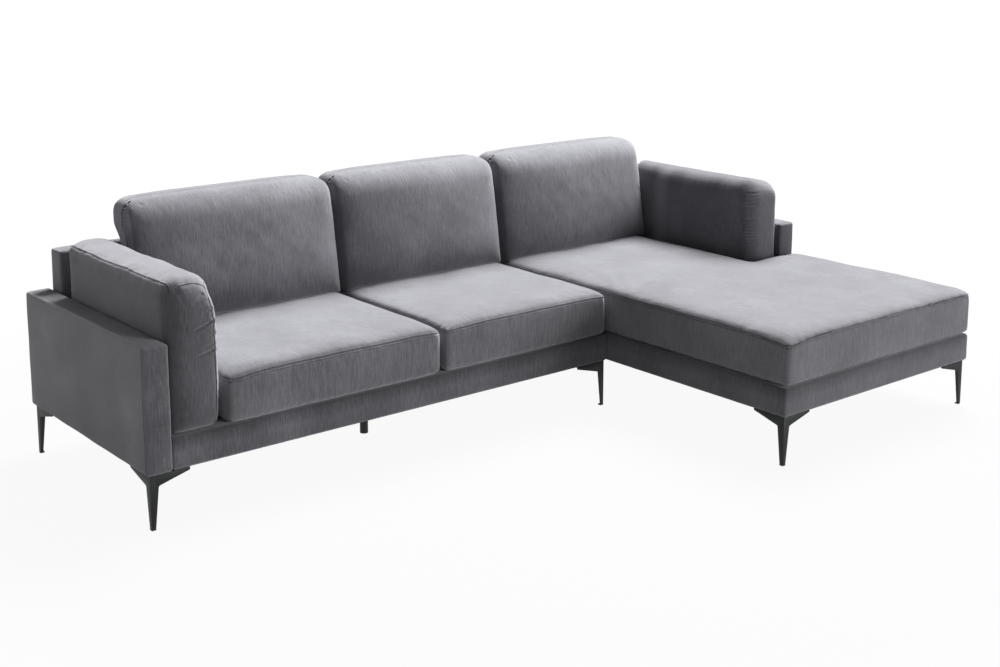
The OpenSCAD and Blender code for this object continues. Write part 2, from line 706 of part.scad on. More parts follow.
// The base covers are open underneath, and a dust cover fills each opening
module base_cover(outer, room) difference() {
    slab(outer, base_bottom, base_top);
    slab(room, base_bottom - 1, base_top - cover_t);
    fixing_room();
}
module sofa_base_cover() color(cloth) base_cover(sofa_base_corners(0), sofa_base_corners(cover_t));
module chaise_base_cover() color(cloth) base_cover(chaise_base_corners(0), chaise_base_corners(cover_t));
module sofa_dust_cover() color(dust_cloth) difference() {
    slab(sofa_base_corners(frame_gap), base_bottom, base_bottom + dust_t);
    fixing_room();
}
module chaise_dust_cover() color(dust_cloth) difference() {
    slab(chaise_base_corners(frame_gap), base_bottom, base_bottom + dust_t);
    fixing_room();
}

// An upholstered panel: a closed sleeve between two corners, with round upright edges
module sleeve(low, high) difference() {
    translate([0, 0, low.z]) linear_extrude(high.z - low.z)
        polygon(flat_outline(rect(low, high, panel_r)));
    block(low + cover_t * [1, 1, 1], high - cover_t * [1, 1, 1]);
    fixing_room();
}
// The boards on a panel's two faces across axis 0 (X) or 1 (Y)
module panel_boards(low, high, axis) difference() {
    room_low = low + frame_gap * [1, 1, 1];
    room_high = high - frame_gap * [1, 1, 1];
    size = room_high - room_low;
    board = axis == 0 ? [board_t, size.y, size.z] : [size.x, board_t, size.z];
    step = axis == 0 ? [size.x - board_t, 0, 0] : [0, size.y - board_t, 0];
    union() {
        translate(room_low) cube(board);
        translate(room_low + step) cube(board);
    }
    fixing_room();
}
// The timber frame between the boards: bottom rail, top rail and posts, count of them, across the length
module panel_frame(low, high, axis, count) difference() {
    skin = axis == 0 ? [board_t, 0, 0] : [0, board_t, 0];
    a = low + frame_gap * [1, 1, 1] + skin;
    b = high - frame_gap * [1, 1, 1] - skin;
    size = b - a;
    length = axis == 0 ? size.y : size.x;
    union() {
        translate(a) cube([size.x, size.y, foot_rail_h]);
        translate([a.x, a.y, b.z - rail_t]) cube([size.x, size.y, rail_t]);
        for (i = [0 : count - 1]) {
            along = (length - post_w) * i / (count - 1);
            translate(a + (axis == 0 ? [0, along, 0] : [along, 0, 0]))
                cube(axis == 0 ? [size.x, post_w, size.z] : [post_w, size.y, size.z]);
        }
    }
    fixing_room();
}

arm_low = [0, 0, base_bottom];
arm_high = [arm_w, sofa_d, arm_top];
arm_posts = 4;
module left_arm_frame() color(timber) panel_frame(arm_low, arm_high, 0, arm_posts);
module left_arm_boards() color(hardboard) panel_boards(arm_low, arm_high, 0);
module left_arm_cover() color(cloth) sleeve(arm_low, arm_high);
right_arm_low = arm_low + [right_arm_x, 0, 0];
right_arm_high = arm_high + [right_arm_x, 0, 0];
module right_arm_frame() color(timber) panel_frame(right_arm_low, right_arm_high, 0, arm_posts);
module right_arm_boards() color(hardboard) panel_boards(right_arm_low, right_arm_high, 0);
module right_arm_cover() color(cloth) sleeve(right_arm_low, right_arm_high);

sofa_back_low = [arm_w, back_front, base_top];
sofa_back_high = [chaise_x, back_rear, back_top];
sofa_back_posts = 7;
module sofa_back_frame() color(timber) panel_frame(sofa_back_low, sofa_back_high, 1, sofa_back_posts);
module sofa_back_boards() color(hardboard) panel_boards(sofa_back_low, sofa_back_high, 1);
module sofa_back_cover() color(cloth) sleeve(sofa_back_low, sofa_back_high);
chaise_back_low = [chaise_x, back_front, base_top];
chaise_back_high = [right_arm_x, back_rear, back_top];
chaise_back_posts = 4;
module chaise_back_frame() color(timber) panel_frame(chaise_back_low, chaise_back_high, 1, chaise_back_posts);
module chaise_back_boards() color(hardboard) panel_boards(chaise_back_low, chaise_back_high, 1);
module chaise_back_cover() color(cloth) sleeve(chaise_back_low, chaise_back_high);

// A leg: two tapering flanges that meet in the outer corner and run out into wings, and a plate on top
leg_solid_h = leg_h - glide_h;
// Where the leg turns into its wing, the wing's lower end, and how far the turn is rounded
leg_neck = [leg_neck_w, leg_solid_h - wing_h];
wing_end = [wing_l, leg_solid_h - wing_end_h];
wing_bend = 5;
bend_steps = 4;
leg_plate_w = 30;
function bend(p, q, r, t) = p * (1 - t) * (1 - t) + q * 2 * t * (1 - t) + r * t * t;
function towards(p, q, d) = p + (q - p) * d / norm(q - p);
function flange_points() = concat(
    [[0, 0], [leg_foot_w, 0]],
    [
        for (k = [0 : bend_steps])
            bend(
                towards(leg_neck, [leg_foot_w, 0], wing_bend), leg_neck, towards(leg_neck, wing_end, wing_bend),
                k / bend_steps
            )
    ],
    [wing_end, [wing_l, leg_solid_h], [0, leg_solid_h]]
);
module leg(place) {
    translate([place.x, place.y, glide_h]) rotate([0, 0, place.z]) {
        difference() {
            union() {
                translate([0, plate_t, 0]) rotate([90, 0, 0]) linear_extrude(plate_t) polygon(flange_points());
                rotate([90, 0, 90]) linear_extrude(plate_t) polygon(flange_points());
                translate([0, 0, leg_solid_h - plate_t]) linear_extrude(plate_t)
                    polygon([[0, 0], [wing_l, 0], [wing_l, leg_plate_w], [leg_plate_w, wing_l], [0, wing_l]]);
            }
            for (p = LEG_SCREWS)
                translate([p.x, p.y, leg_solid_h - plate_t - 1])
                    cylinder(h = plate_t + 2, d = screw_d + 2 * screw_gap);
        }
    }
}
module left_front_leg() color(black_steel) leg(LEG_PLACES[0]);
module left_rear_leg() color(black_steel) leg(LEG_PLACES[1]);
module inner_front_leg() color(black_steel) leg(LEG_PLACES[2]);
module inner_rear_leg() color(black_steel) leg(LEG_PLACES[3]);
module chaise_left_leg() color(black_steel) leg(LEG_PLACES[4]);
module chaise_right_leg() color(black_steel) leg(LEG_PLACES[5]);
module corner_rear_leg() color(black_steel) leg(LEG_PLACES[6]);
module right_rear_leg() color(black_steel) leg(LEG_PLACES[7]);
module middle_foot() color(black_steel) difference() {
    union() {
        translate([foot_x, foot_y, glide_h]) cylinder(h = leg_solid_h, d = foot_d);
        translate([foot_x, foot_y, base_bottom - plate_t]) cylinder(h = plate_t, d = foot_flange_d);
    }
    screw_shanks(screw_gap);
}
module leg_glides() color(dust_cloth) {
    for (place = LEG_PLACES)
        translate([place.x, place.y, 0]) rotate([0, 0, place.z]) cube([leg_foot_w, leg_foot_w, glide_h]);
    translate([foot_x, foot_y, 0]) cylinder(h = glide_h, d = foot_d);
}
module module_link_plates() color(black_steel) difference() {
    for (link = LINK_PLACES)
        translate([link.x - link_l / 2, link.y - link_w / 2, base_bottom - plate_t]) cube([link_l, link_w, plate_t]);
    screw_shanks(screw_gap);
}

// Moves the sofa from the left arm's front to the middle
module placed() translate(-middle) children();

placed() sofa_base_frame();
placed() sofa_seat_webbing();
placed() sofa_deck_pad();
placed() sofa_base_cover();
placed() sofa_dust_cover();
placed() chaise_base_frame();
placed() chaise_seat_webbing();
placed() chaise_deck_pad();
placed() chaise_base_cover();
placed() chaise_dust_cover();
placed() left_arm_frame();
placed() left_arm_boards();
placed() left_arm_cover();
placed() right_arm_frame();
placed() right_arm_boards();
placed() right_arm_cover();
placed() sofa_back_frame();
placed() sofa_back_boards();
placed() sofa_back_cover();
placed() chaise_back_frame();
placed() chaise_back_boards();
placed() chaise_back_cover();
placed() left_seat_cushion();
placed() middle_seat_cushion();
placed() chaise_cushion();
placed() left_seat_foam();
placed() middle_seat_foam();
placed() chaise_foam();
placed() left_arm_cushion();
placed() right_arm_cushion();
placed() left_arm_foam();
placed() right_arm_foam();
placed() left_back_cushion();
placed() middle_back_cushion();
placed() right_back_cushion();
placed() left_back_filling();
placed() middle_back_filling();
placed() right_back_filling();
placed() left_front_leg();
placed() left_rear_leg();
placed() inner_front_leg();
placed() inner_rear_leg();
placed() chaise_left_leg();
placed() chaise_right_leg();
placed() corner_rear_leg();
placed() right_rear_leg();
placed() middle_foot();
placed() leg_glides();
placed() leg_screws();
placed() arm_bolts();
placed() back_bolts();
placed() module_link_plates();
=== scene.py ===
import json
import math
import bpy
import bmesh
import numpy as np
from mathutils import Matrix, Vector


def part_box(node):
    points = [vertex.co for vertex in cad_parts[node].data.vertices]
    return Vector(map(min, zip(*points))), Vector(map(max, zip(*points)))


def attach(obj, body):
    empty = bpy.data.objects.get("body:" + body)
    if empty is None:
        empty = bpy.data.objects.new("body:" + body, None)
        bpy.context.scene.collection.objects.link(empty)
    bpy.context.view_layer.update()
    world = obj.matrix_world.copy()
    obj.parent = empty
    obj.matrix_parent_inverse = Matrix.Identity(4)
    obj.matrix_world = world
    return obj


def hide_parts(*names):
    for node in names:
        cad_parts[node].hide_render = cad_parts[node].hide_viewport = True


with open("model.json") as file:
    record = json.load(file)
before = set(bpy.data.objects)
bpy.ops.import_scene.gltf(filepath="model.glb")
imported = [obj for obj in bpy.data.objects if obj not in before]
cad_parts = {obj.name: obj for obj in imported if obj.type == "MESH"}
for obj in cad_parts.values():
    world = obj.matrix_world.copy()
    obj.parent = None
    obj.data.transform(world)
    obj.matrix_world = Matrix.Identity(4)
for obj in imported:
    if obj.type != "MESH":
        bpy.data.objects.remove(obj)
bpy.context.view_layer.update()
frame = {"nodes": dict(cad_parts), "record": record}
nodes = frame["nodes"]

# ---------------------------------------------------------------- camera
# Fitted to the straight edges of the arms, base and legs in the photograph.
bpy.ops.object.select_all(action="DESELECT")
bpy.ops.object.camera_add(
    location=(-3.1867, -3.7564, 1.7437),
    rotation=(math.radians(80.027), 0, math.radians(-39.337)),
)
camera = bpy.context.object
camera.data.lens = 52.183
camera.data.shift_y = -0.15
bpy.context.scene.camera = camera


# ---------------------------------------------------------------- materials
def colour(code):
    """An sRGB hex colour as linear RGBA."""
    parts = [int(code[i:i + 2], 16) / 255 for i in (1, 3, 5)]
    return [c / 12.92 if c <= 0.04045 else ((c + 0.055) / 1.055) ** 2.4 for c in parts] + [1]


def add_node(tree, kind, links=None, **settings):
    """Adds a node, with its settings and with a value or a socket for each of its inputs."""
    made = tree.nodes.new(kind)
    for name, value in settings.items():
        setattr(made, name, value)
    for socket, value in (links or {}).items():
        if isinstance(value, bpy.types.NodeSocket):
            tree.links.new(value, made.inputs[socket])
        else:
            made.inputs[socket].default_value = value
    return made


def new_finish(name, **shader_values):
    """A material with its shader's own values set, and its tree."""
    finish = bpy.data.materials.new(name)
    finish.use_nodes = True
    shader = finish.node_tree.nodes["Principled BSDF"]
    for socket, value in shader_values.items():
        shader.inputs[socket.replace("_", " ")].default_value = value
    return finish, finish.node_tree, shader


def set_ramp(ramp, *stops):
    """Sets a colour ramp's stops from (place, hex colour) pairs."""
    stones = ramp.color_ramp.elements
    while len(stones) < len(stops):
        stones.new(0.5)
    for stone, (place, code) in zip(stones, stops):
        stone.position = place
        stone.color = colour(code)


def chenille():
    """Woven chenille with a short pile: soft streaks along both threads, and a pale bloom at grazing angles."""
    finish, tree, shader = new_finish(
        "grey woven chenille", Roughness=0.95, Specular_IOR_Level=0.1,
        Sheen_Weight=1.0, Sheen_Roughness=0.62, Sheen_Tint=colour("#f0f0f6"),
    )
    spot = add_node(tree, "ShaderNodeTexCoord")
    place = spot.outputs["Object"]
    faces = add_node(tree, "ShaderNodeSeparateXYZ", {0: spot.outputs["Normal"]})
    # Yarns lie 2 mm apart, too fine for the picture, so the streaks are drawn 3 mm wide and 38 mm long.
    # Those that lie level on an upright face show least. A yarn lies in the cloth's face, so the streaks
    # that would be cut across by the face fade out.
    wide, long = 1 / 0.003, 1 / 0.038
    weave = None
    for axis, share, scale in (
            (0, 1.35, (wide, long, long)), (1, 1.0, (long, wide, long)), (2, 0.35, (long, long, wide))):
        spread = add_node(tree, "ShaderNodeMapping", {"Vector": place, "Scale": scale})
        streak = add_node(
            tree, "ShaderNodeTexNoise",
            {"Vector": spread.outputs[0], "Scale": 1.0, "Detail": 2.0, "Roughness": 0.6},
        ).outputs["Fac"]
        across = add_node(tree, "ShaderNodeMath", {0: faces.outputs[axis]}, operation="ABSOLUTE")
        faded = add_node(tree, "ShaderNodeMix", {"Factor": across.outputs[0], 2: streak, 3: 0.5}, data_type="FLOAT")
        weave = add_node(
            tree, "ShaderNodeMath", {0: faded.outputs[0], 1: share, 2: weave if weave else 0.0},
            operation="MULTIPLY_ADD"
        ).outputs[0]
    # The pile lies in patches about 150 mm across, where hands and folding have brushed it.
    brushed = add_node(
        tree, "ShaderNodeTexNoise", {"Vector": place, "Scale": 5.5, "Detail": 3.0, "Roughness": 0.5}
    )
    mottled = add_node(
        tree, "ShaderNodeMath", {0: brushed.outputs["Fac"], 1: 0.8, 2: weave}, operation="MULTIPLY_ADD"
    )
    # Painted shading: a value stored on each point shifts the cloth's tone darker where a piece stands in shade and
    # lighter where it stands in light.
    painted_shading = add_node(tree, "ShaderNodeAttribute", attribute_name="painted_shading").outputs["Fac"]
    tone_with_painted_shading = add_node(tree, "ShaderNodeMath", {0: mottled.outputs[0], 1: painted_shading}, operation="ADD")
    evened = add_node(
        tree, "ShaderNodeMapRange",
        {"Value": tone_with_painted_shading.outputs[0], "From Min": 1.16, "From Max": 2.34, "To Min": 0.0, "To Max": 1.0},
    )
    ramp = add_node(tree, "ShaderNodeValToRGB", {"Fac": evened.outputs[0]})
    set_ramp(ramp, (0.0, "#414146"), (0.5, "#6f6f75"), (1.0, "#97979d"))
    # Two rows of top stitching, 6 mm to each side of a seam.
    near = add_node(tree, "ShaderNodeAttribute", attribute_name="seam_near").outputs["Fac"]
    row = add_node(tree, "ShaderNodeMath", {0: near, 1: 0.024, 2: 0.0016}, operation="COMPARE")
    split = add_node(tree, "ShaderNodeSeparateXYZ", {0: place})
    along = add_node(tree, "ShaderNodeMath", {0: split.outputs[0], 1: split.outputs[1]}, operation="ADD")
    beat = add_node(tree, "ShaderNodeMath", {0: along.outputs[0], 1: 2 * math.pi / 0.009}, operation="MULTIPLY")
    dash = add_node(tree, "ShaderNodeMath", {0: beat.outputs[0]}, operation="SINE")
    held = add_node(tree, "ShaderNodeMath", {0: dash.outputs[0], 1: -0.4}, operation="GREATER_THAN")
    stitch = add_node(tree, "ShaderNodeMath", {0: row.outputs[0], 1: held.outputs[0]}, operation="MULTIPLY")
    stitched = add_node(
        tree, "ShaderNodeMix",
        {"Factor": stitch.outputs[0], 6: ramp.outputs[0], 7: colour("#4a4a4f")}, data_type="RGBA",
    )
    tree.links.new(stitched.outputs[2], shader.inputs["Base Color"])
    lowered = add_node(
        tree, "ShaderNodeMath", {0: stitch.outputs[0], 1: -0.8, 2: weave}, operation="MULTIPLY_ADD"
    )
    bump = add_node(
        tree, "ShaderNodeBump", {"Height": lowered.outputs[0], "Strength": 0.5, "Distance": 0.0008}
    )
    tree.links.new(bump.outputs[0], shader.inputs["Normal"])
    return finish


def powder_coat():
    """Black powder-coated steel: a faint orange peel and a soft satin shine."""
    finish, tree, shader = new_finish("black powder coated steel", Roughness=0.48, Specular_IOR_Level=0.3)
    place = add_node(tree, "ShaderNodeTexCoord").outputs["Object"]
    peel = add_node(tree, "ShaderNodeTexNoise", {"Vector": place, "Scale": 900.0, "Detail": 1.0})
    ramp = add_node(tree, "ShaderNodeValToRGB", {"Fac": peel.outputs["Fac"]})
    set_ramp(ramp, (0.3, "#101314"), (0.7, "#16191b"))
    tree.links.new(ramp.outputs[0], shader.inputs["Base Color"])
    bump = add_node(
        tree, "ShaderNodeBump", {"Height": peel.outputs["Fac"], "Strength": 0.25, "Distance": 0.0003}
    )
    tree.links.new(bump.outputs[0], shader.inputs["Normal"])
    return finish


def grained(name, codes, stretch, scale, depth, **values):
    """A finish with a grain, fibre or foam pattern: hex colours from dark to light, and how the pattern stretches."""
    finish, tree, shader = new_finish(name, **values)
    place = add_node(tree, "ShaderNodeTexCoord").outputs["Object"]
    spread = add_node(tree, "ShaderNodeMapping", {"Vector": place, "Scale": stretch})
    pattern = add_node(
        tree, "ShaderNodeTexNoise",
        {"Vector": spread.outputs[0], "Scale": scale, "Detail": 4.0, "Roughness": 0.6, "Distortion": 0.3},
    )
    ramp = add_node(tree, "ShaderNodeValToRGB", {"Fac": pattern.outputs["Fac"]})
    set_ramp(ramp, *((0.3 + 0.4 * k / (len(codes) - 1), code) for k, code in enumerate(codes)))
    tree.links.new(ramp.outputs[0], shader.inputs["Base Color"])
    bump = add_node(
        tree, "ShaderNodeBump", {"Height": pattern.outputs["Fac"], "Strength": 0.4, "Distance": depth}
    )
    tree.links.new(bump.outputs[0], shader.inputs["Normal"])
    return finish


FINISHES = {
    "chenille_cloth": chenille(),
    "black_steel": powder_coat(),
    # Sawn pine: pale yellow, with darker growth lines along the rail.
    "pine_timber": grained(
        "sawn pine", ("#b98a55", "#d6ae78", "#e3c496"), (6, 60, 60), 1.0, 0.0006, Roughness=0.6),
    # Hardboard: brown pressed fibres, smooth on its face.
    "hardboard": grained(
        "pressed hardboard", ("#6b4a2f", "#7f5a3a", "#8d6948"), (1, 1, 1), 420.0, 0.0003, Roughness=0.5),
    # Elastic webbing: a tight dark weave of rubber and yarn.
    "elastic_webbing": grained(
        "elastic webbing", ("#2b2b2e", "#3a3a3e"), (500, 500, 500), 1.0, 0.0005, Roughness=0.85),
    # Spun dust cloth: black felted fibre.
    "dust_cloth": grained(
        "spun dust cloth", ("#141416", "#222225"), (1, 1, 1), 600.0, 0.0003, Roughness=0.9),
    # Cut polyurethane foam: cream, with open cells.
    "upholstery_foam": grained(
        "cut polyurethane foam", ("#cfc6a4", "#e6dfc4"), (1, 1, 1), 700.0, 0.0006, Roughness=0.95),
    # Zinc plated steel: a bright grey, a little yellow, slightly clouded.
    "zinc_steel": grained(
        "zinc plated steel", ("#a9aaa6", "#c9cac6"), (1, 1, 1), 240.0, 0.0001, Roughness=0.32, Metallic=1.0),
    # Moulded polyethylene: black and waxy.
    "glide_plastic": grained(
        "moulded polyethylene", ("#17181a", "#1f2022"), (1, 1, 1), 500.0, 0.0002, Roughness=0.55),
}
for part in frame["record"]["subparts"]:
    held = nodes[part["node"]].data.materials
    held.clear()
    held.append(FINISHES[part["material_slot"]])


# ---------------------------------------------------------------- making pieces
def add_box(name, low, high):
    """A box at its size and place, as the start of a piece."""
    bpy.ops.object.select_all(action="DESELECT")
    bpy.ops.mesh.primitive_cube_add(size=1, location=[(a + b) / 2 for a, b in zip(low, high)])
    piece = bpy.context.object
    piece.name = piece.data.name = name
    piece.scale = [b - a for a, b in zip(low, high)]
    bpy.ops.object.transform_apply(location=True, rotation=False, scale=True)
    return piece


def take(piece):
    """Makes the piece the only selected object, and the active one."""
    bpy.ops.object.select_all(action="DESELECT")
    bpy.context.view_layer.objects.active = piece
    piece.select_set(True)


def pick(piece, kind, test):
    """Enters edit mode with only those edges or faces selected whose corner points pass the test."""
    take(piece)
    mesh = piece.data
    for group in (mesh.vertices, mesh.edges, mesh.polygons):
        group.foreach_set("select", [False] * len(group))
    for item in getattr(mesh, kind):
        item.select = bool(test([mesh.vertices[i].co for i in item.vertices]))
    bpy.context.tool_settings.mesh_select_mode = (False, kind == "edges", kind == "polygons")
    bpy.ops.object.mode_set(mode="EDIT")


def leave_edit():
    bpy.ops.object.mode_set(mode="OBJECT")


# Points that are no further apart than this lie in one plane.
HAIR = 1e-5


def everywhere(points):
    """A test that everything passes."""
    return True


def lies_at(axis, value):
    """A test that all corner points lie in a plane across the axis."""
    return lambda points: all(abs(p[axis] - value) < HAIR for p in points)


def runs_along(axis):
    """A test that an edge runs along the axis."""
    return lambda points: all(abs(points[0][k] - points[1][k]) < HAIR for k in range(3) if k != axis)


def bevel_edges(piece, test, radius, segments):
    """Rounds off the edges that pass the test."""
    pick(piece, "edges", test)
    bpy.ops.mesh.bevel(
        offset=radius, offset_type="OFFSET", segments=segments, profile=0.5, affect="EDGES",
        clamp_overlap=False,
    )
    leave_edit()


def cut_across(piece, axis, value):
    """Cuts the piece's faces with a plane across the axis, which leaves a line of edges."""
    pick(piece, "polygons", everywhere)
    point, normal = [0, 0, 0], [0, 0, 0]
    point[axis], normal[axis] = value, 1
    bpy.ops.mesh.bisect(plane_co=point, plane_no=normal, use_fill=False, clear_inner=False, clear_outer=False)
    leave_edit()


def draw_out(piece, corner, rear):
    """Makes an L of a box: the rear face to the left of the corner is drawn out to the rear."""
    cut_across(piece, 0, corner[0])
    pick(piece, "polygons", lambda p: lies_at(1, corner[1])(p) and max(q.x for q in p) < corner[0] + HAIR)
    bpy.ops.mesh.extrude_region_move(TRANSFORM_OT_translate={"value": (0, rear - corner[1], 0)})
    leave_edit()


def finish_modifier(piece, kind, **settings):
    """Adds a modifier with its settings and applies it."""
    take(piece)
    modifier = piece.modifiers.new(kind.title(), kind)
    for name, value in settings.items():
        setattr(modifier, name, value)
    bpy.ops.object.modifier_apply(modifier=modifier.name)


def get_points(piece):
    flat = np.empty(len(piece.data.vertices) * 3)
    piece.data.vertices.foreach_get("co", flat)
    return flat.reshape(-1, 3)


def get_normals(piece):
    flat = np.empty(len(piece.data.vertices) * 3, np.float32)
    piece.data.vertex_normals.foreach_get("vector", flat)
    return flat.reshape(-1, 3).astype(float)


def set_points(piece, points):
    piece.data.vertices.foreach_set("co", points.ravel())
    piece.data.update()


def ease(x, low=0.0, high=1.0):
    """Goes smoothly from 0 to 1 as x goes from low to high."""
    t = np.clip((x - low) / (high - low), 0, 1)
    return t * t * (3 - 2 * t)


def ripples(points, length, seed, waves=16):
    """A soft uneven field between about -1 and 1, whose swells are about length apart."""
    chance = np.random.default_rng(seed)
    field = np.zeros(len(points))
    for _ in range(waves):
        way = chance.normal(size=3)
        way *= 2 * math.pi / length / np.linalg.norm(way) * chance.uniform(0.6, 1.3)
        field += np.cos(points @ way + chance.uniform(0, 2 * math.pi))
    return field / math.sqrt(waves)


def wear(piece, node, body, slot):
    """The piece stands for its CAD node, moves with its body and takes the slot's finish."""
    piece.data.materials.clear()
    piece.data.materials.append(FINISHES[slot])
    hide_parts(node)
    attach(piece, body)


def smooth(piece, angle=None):
    """Shades the piece smooth, apart from the edges that are sharper than the angle."""
    take(piece)
    if angle:
        bpy.ops.object.shade_smooth_by_angle(angle=math.radians(angle))
    else:
        bpy.ops.object.shade_smooth()


# ---------------------------------------------------------------- cushions
# Each cushion starts as the sewn cover's box with rounded edges, is blown up as cloth, gets its seams,
# and is then pressed into its place on the sofa.

# A cover is sewn this much inside its solid, because the pressure swells it.
INSET = 0.002
# How far a seat or arm cushion stands above its solid's foot, and how far a back cushion stands off the low back
FOOT_GAP = 0.0008
REST_GAP = 0.0003


def sewn_box(name, low, high, axis, corners, ends, notch=None):
    """The cover's box. corners are (test, radius) for edges along the axis, ends the radii at its two end faces."""
    piece = add_box(name, low, high)
    if notch:
        # The box ends at the notch, and the rear part beside the notch is drawn out of its rear face.
        points = get_points(piece)
        points[points[:, 1] > notch[1], 1] = notch[1]
        set_points(piece, points)
        draw_out(piece, notch, high[1])
        # No line stays across the flat faces.
        pick(piece, "polygons", everywhere)
        bpy.ops.mesh.dissolve_limited(angle_limit=math.radians(1))
        leave_edit()
    for test, radius in corners:
        bevel_edges(piece, lambda p: runs_along(axis)(p) and test(p), radius, 6)
    for value, radius in zip((low[axis], high[axis]), ends):
        bevel_edges(piece, lies_at(axis, value), radius, 4)
    return piece


# The size of the covers' mesh, the pressure inside them, the simulation's last frame, and how far the
# pressure may move a point
MESH_SIZE = 0.010
PRESSURE = 4.0
LAST_FRAME = 20
SWELL_CAP = 0.005


def blow_up(pieces):
    """Cloth simulation of all the covers at once: each is closed and under pressure, with no weight."""
    starts = {}
    for piece in pieces:
        finish_modifier(piece, "REMESH", mode="VOXEL", voxel_size=MESH_SIZE, use_smooth_shade=True)
        finish_modifier(piece, "SMOOTH", factor=0.5, iterations=3)
        starts[piece.name] = get_points(piece)
    for piece in pieces:
        cloth = piece.modifiers.new("Cloth", "CLOTH")
        fabric = cloth.settings
        fabric.quality = 4
        fabric.mass = 0.3
        fabric.tension_stiffness = fabric.compression_stiffness = 12
        fabric.shear_stiffness = 5
        fabric.bending_stiffness = 0.5
        fabric.use_pressure = True
        fabric.uniform_pressure_force = PRESSURE
        fabric.effector_weights.gravity = 0
        cloth.collision_settings.use_collision = False
        cloth.collision_settings.use_self_collision = False
    for step in range(1, LAST_FRAME + 1):
        bpy.context.scene.frame_set(step)
    for piece in pieces:
        take(piece)
        bpy.ops.object.modifier_apply(modifier="Cloth")
        start = starts[piece.name]
        move = get_points(piece) - start
        length = np.linalg.norm(move, axis=1, keepdims=True) + 1e-9
        set_points(piece, start + move / length * SWELL_CAP * np.tanh(length / SWELL_CAP))
    bpy.context.scene.frame_set(1)


# Half the width of a seam, its groove's depth and its raised edge's height
HALF_SEAM = 0.0028
SEAM_GROOVE = 0.0022
SEAM_EDGE = 0.0012


def sew(piece, seams, fine=()):
    """Cuts each seam (point, normal, test, double) into the cover: a raised edge over a narrow groove.

    fine gives boxes of small folds, where the cover gets a closer mesh. The distance from the double-stitched
    seams goes into an attribute for the stitches.
    """
    grid = bmesh.new()
    grid.from_mesh(piece.data)
    for low, high in fine:
        edges = [e for e in grid.edges
                 if all(all(a < c < b for a, c, b in zip(low, v.co, high)) for v in e.verts)]
        bmesh.ops.subdivide_edges(grid, edges=edges, cuts=1, use_grid_fill=True)
    for point, normal, test, _ in seams:
        normal = Vector(normal).normalized()
        for shift in (-HALF_SEAM, 0, HALF_SEAM):
            at = Vector(point) + normal * shift
            geometry = [f for f in grid.faces if abs((f.calc_center_median() - at) @ normal) < 0.03 and
                        test(f.calc_center_median(), f.normal)]
            geometry += list({e for f in geometry for e in f.edges}) + list({v for f in geometry for v in f.verts})
            bmesh.ops.bisect_plane(grid, geom=geometry, plane_co=at, plane_no=normal, dist=HAIR)
    grid.to_mesh(piece.data)
    grid.free()
    piece.data.update()
    points, normals = get_points(piece), get_normals(piece)
    moved = points.copy()
    near = np.zeros(len(points))
    for index, (point, normal, test, double) in enumerate(seams):
        normal = Vector(normal).normalized()
        side = (points - np.array(point)) @ np.array(normal)
        away = np.abs(side)
        on = np.array([bool(test(Vector(p), Vector(n))) if a < 0.05 else False
                       for p, n, a in zip(points, normals, away)])
        groove = np.where(away < HALF_SEAM * 0.5, SEAM_GROOVE, 0) + 0.0010 * np.exp(-(away / 0.007) ** 2)
        edge = np.where(np.abs(side - HALF_SEAM) < HALF_SEAM * 0.5, SEAM_EDGE, 0)
        pucker = 0.0006 * np.exp(-(away / 0.02) ** 2) * ripples(points, 0.03, 40 + index)
        moved += normals * (np.where(on, pucker + edge - groove, 0))[:, None]
        if double:
            near = np.maximum(near, np.where(on, np.clip(0.03 - away, 0, 0.03), 0))
    set_points(piece, moved)
    note = piece.data.attributes.new("seam_near", "FLOAT", "POINT")
    note.data.foreach_set("value", near)


def paint_shading(piece, painted_shading):
    """Stores the painted shading at each point: below 0 painted shade, above 0 painted light."""
    note = piece.data.attributes.new("painted_shading", "FLOAT", "POINT")
    note.data.foreach_set("value", painted_shading)


def crease(away):
    """A crease's profile, from 1 in its middle down to the ridges beside it and out to 0."""
    return (1 - 0.9 * away ** 2) * np.exp(-away ** 2 * 0.9)


def fold(points, start, end, width, depth):
    """How far each point moves for one fold of the cloth from start to end: down in its middle, up beside it."""
    a, b = np.array(start), np.array(end)
    along = np.clip(((points - a) @ (b - a)) / ((b - a) @ (b - a)), 0, 1)
    away = np.linalg.norm(points - (a + along[:, None] * (b - a)), axis=1) / width
    return -depth * crease(away) * (1 - 0.75 * along)


def gather(points, place, height, reach, width, depth):
    """How far each point moves for one level fold that wraps round an upright edge at place."""
    away = (points[:, 2] - height) / width
    near = np.exp(-(np.hypot(points[:, 0] - place[0], points[:, 1] - place[1]) / reach) ** 2)
    return -depth * crease(away) * near


def rounded(a, b, radius):
    """Rounds a sewn edge off further: a and b are the distances in from the two faces that meet there."""
    if not radius:
        return a, b
    u, v = np.clip(1 - a / radius, 0, None), np.clip(1 - b / radius, 0, None)
    far, away = np.maximum(u, v), np.maximum(np.hypot(u, v), 1e-9)
    # The cover's edge is already round by this share of the new radius.
    middle = (np.abs(u - v) < 0.06) & (far > 0.4)
    share = min(np.percentile(np.hypot(1 - u, 1 - v)[middle], 10) / (math.sqrt(2) - 1), 0.99)
    flat = 1 - share
    root = np.sqrt(np.clip((flat * (u + v)) ** 2 - away ** 2 * (2 * flat ** 2 - share ** 2), 0, None))
    level = np.where(np.minimum(u, v) > flat * far, away ** 2 / np.maximum(flat * (u + v) + root, 1e-9), far)
    scale = np.where(far > 0, level / away, 1)
    return a + radius * u * (1 - scale), b + radius * v * (1 - scale)


def roll(gap, width):
    """How far a crowned top has risen at this distance in from its edge: a quarter round, then level."""
    return np.sqrt(1 - (1 - np.clip(gap / width, 0.004, 1)) ** 2)


# How far in from its left, right, front and rear edges and its notch a seat's top rolls up, and how far in its
# slow swell goes on rising
EDGE_ROLLS = (0.055, 0.055, 0.075, 0.05, 0.06)
SLOW_ROLLS = (0.24, 0.24, 0.32, 0.08, 0.12)


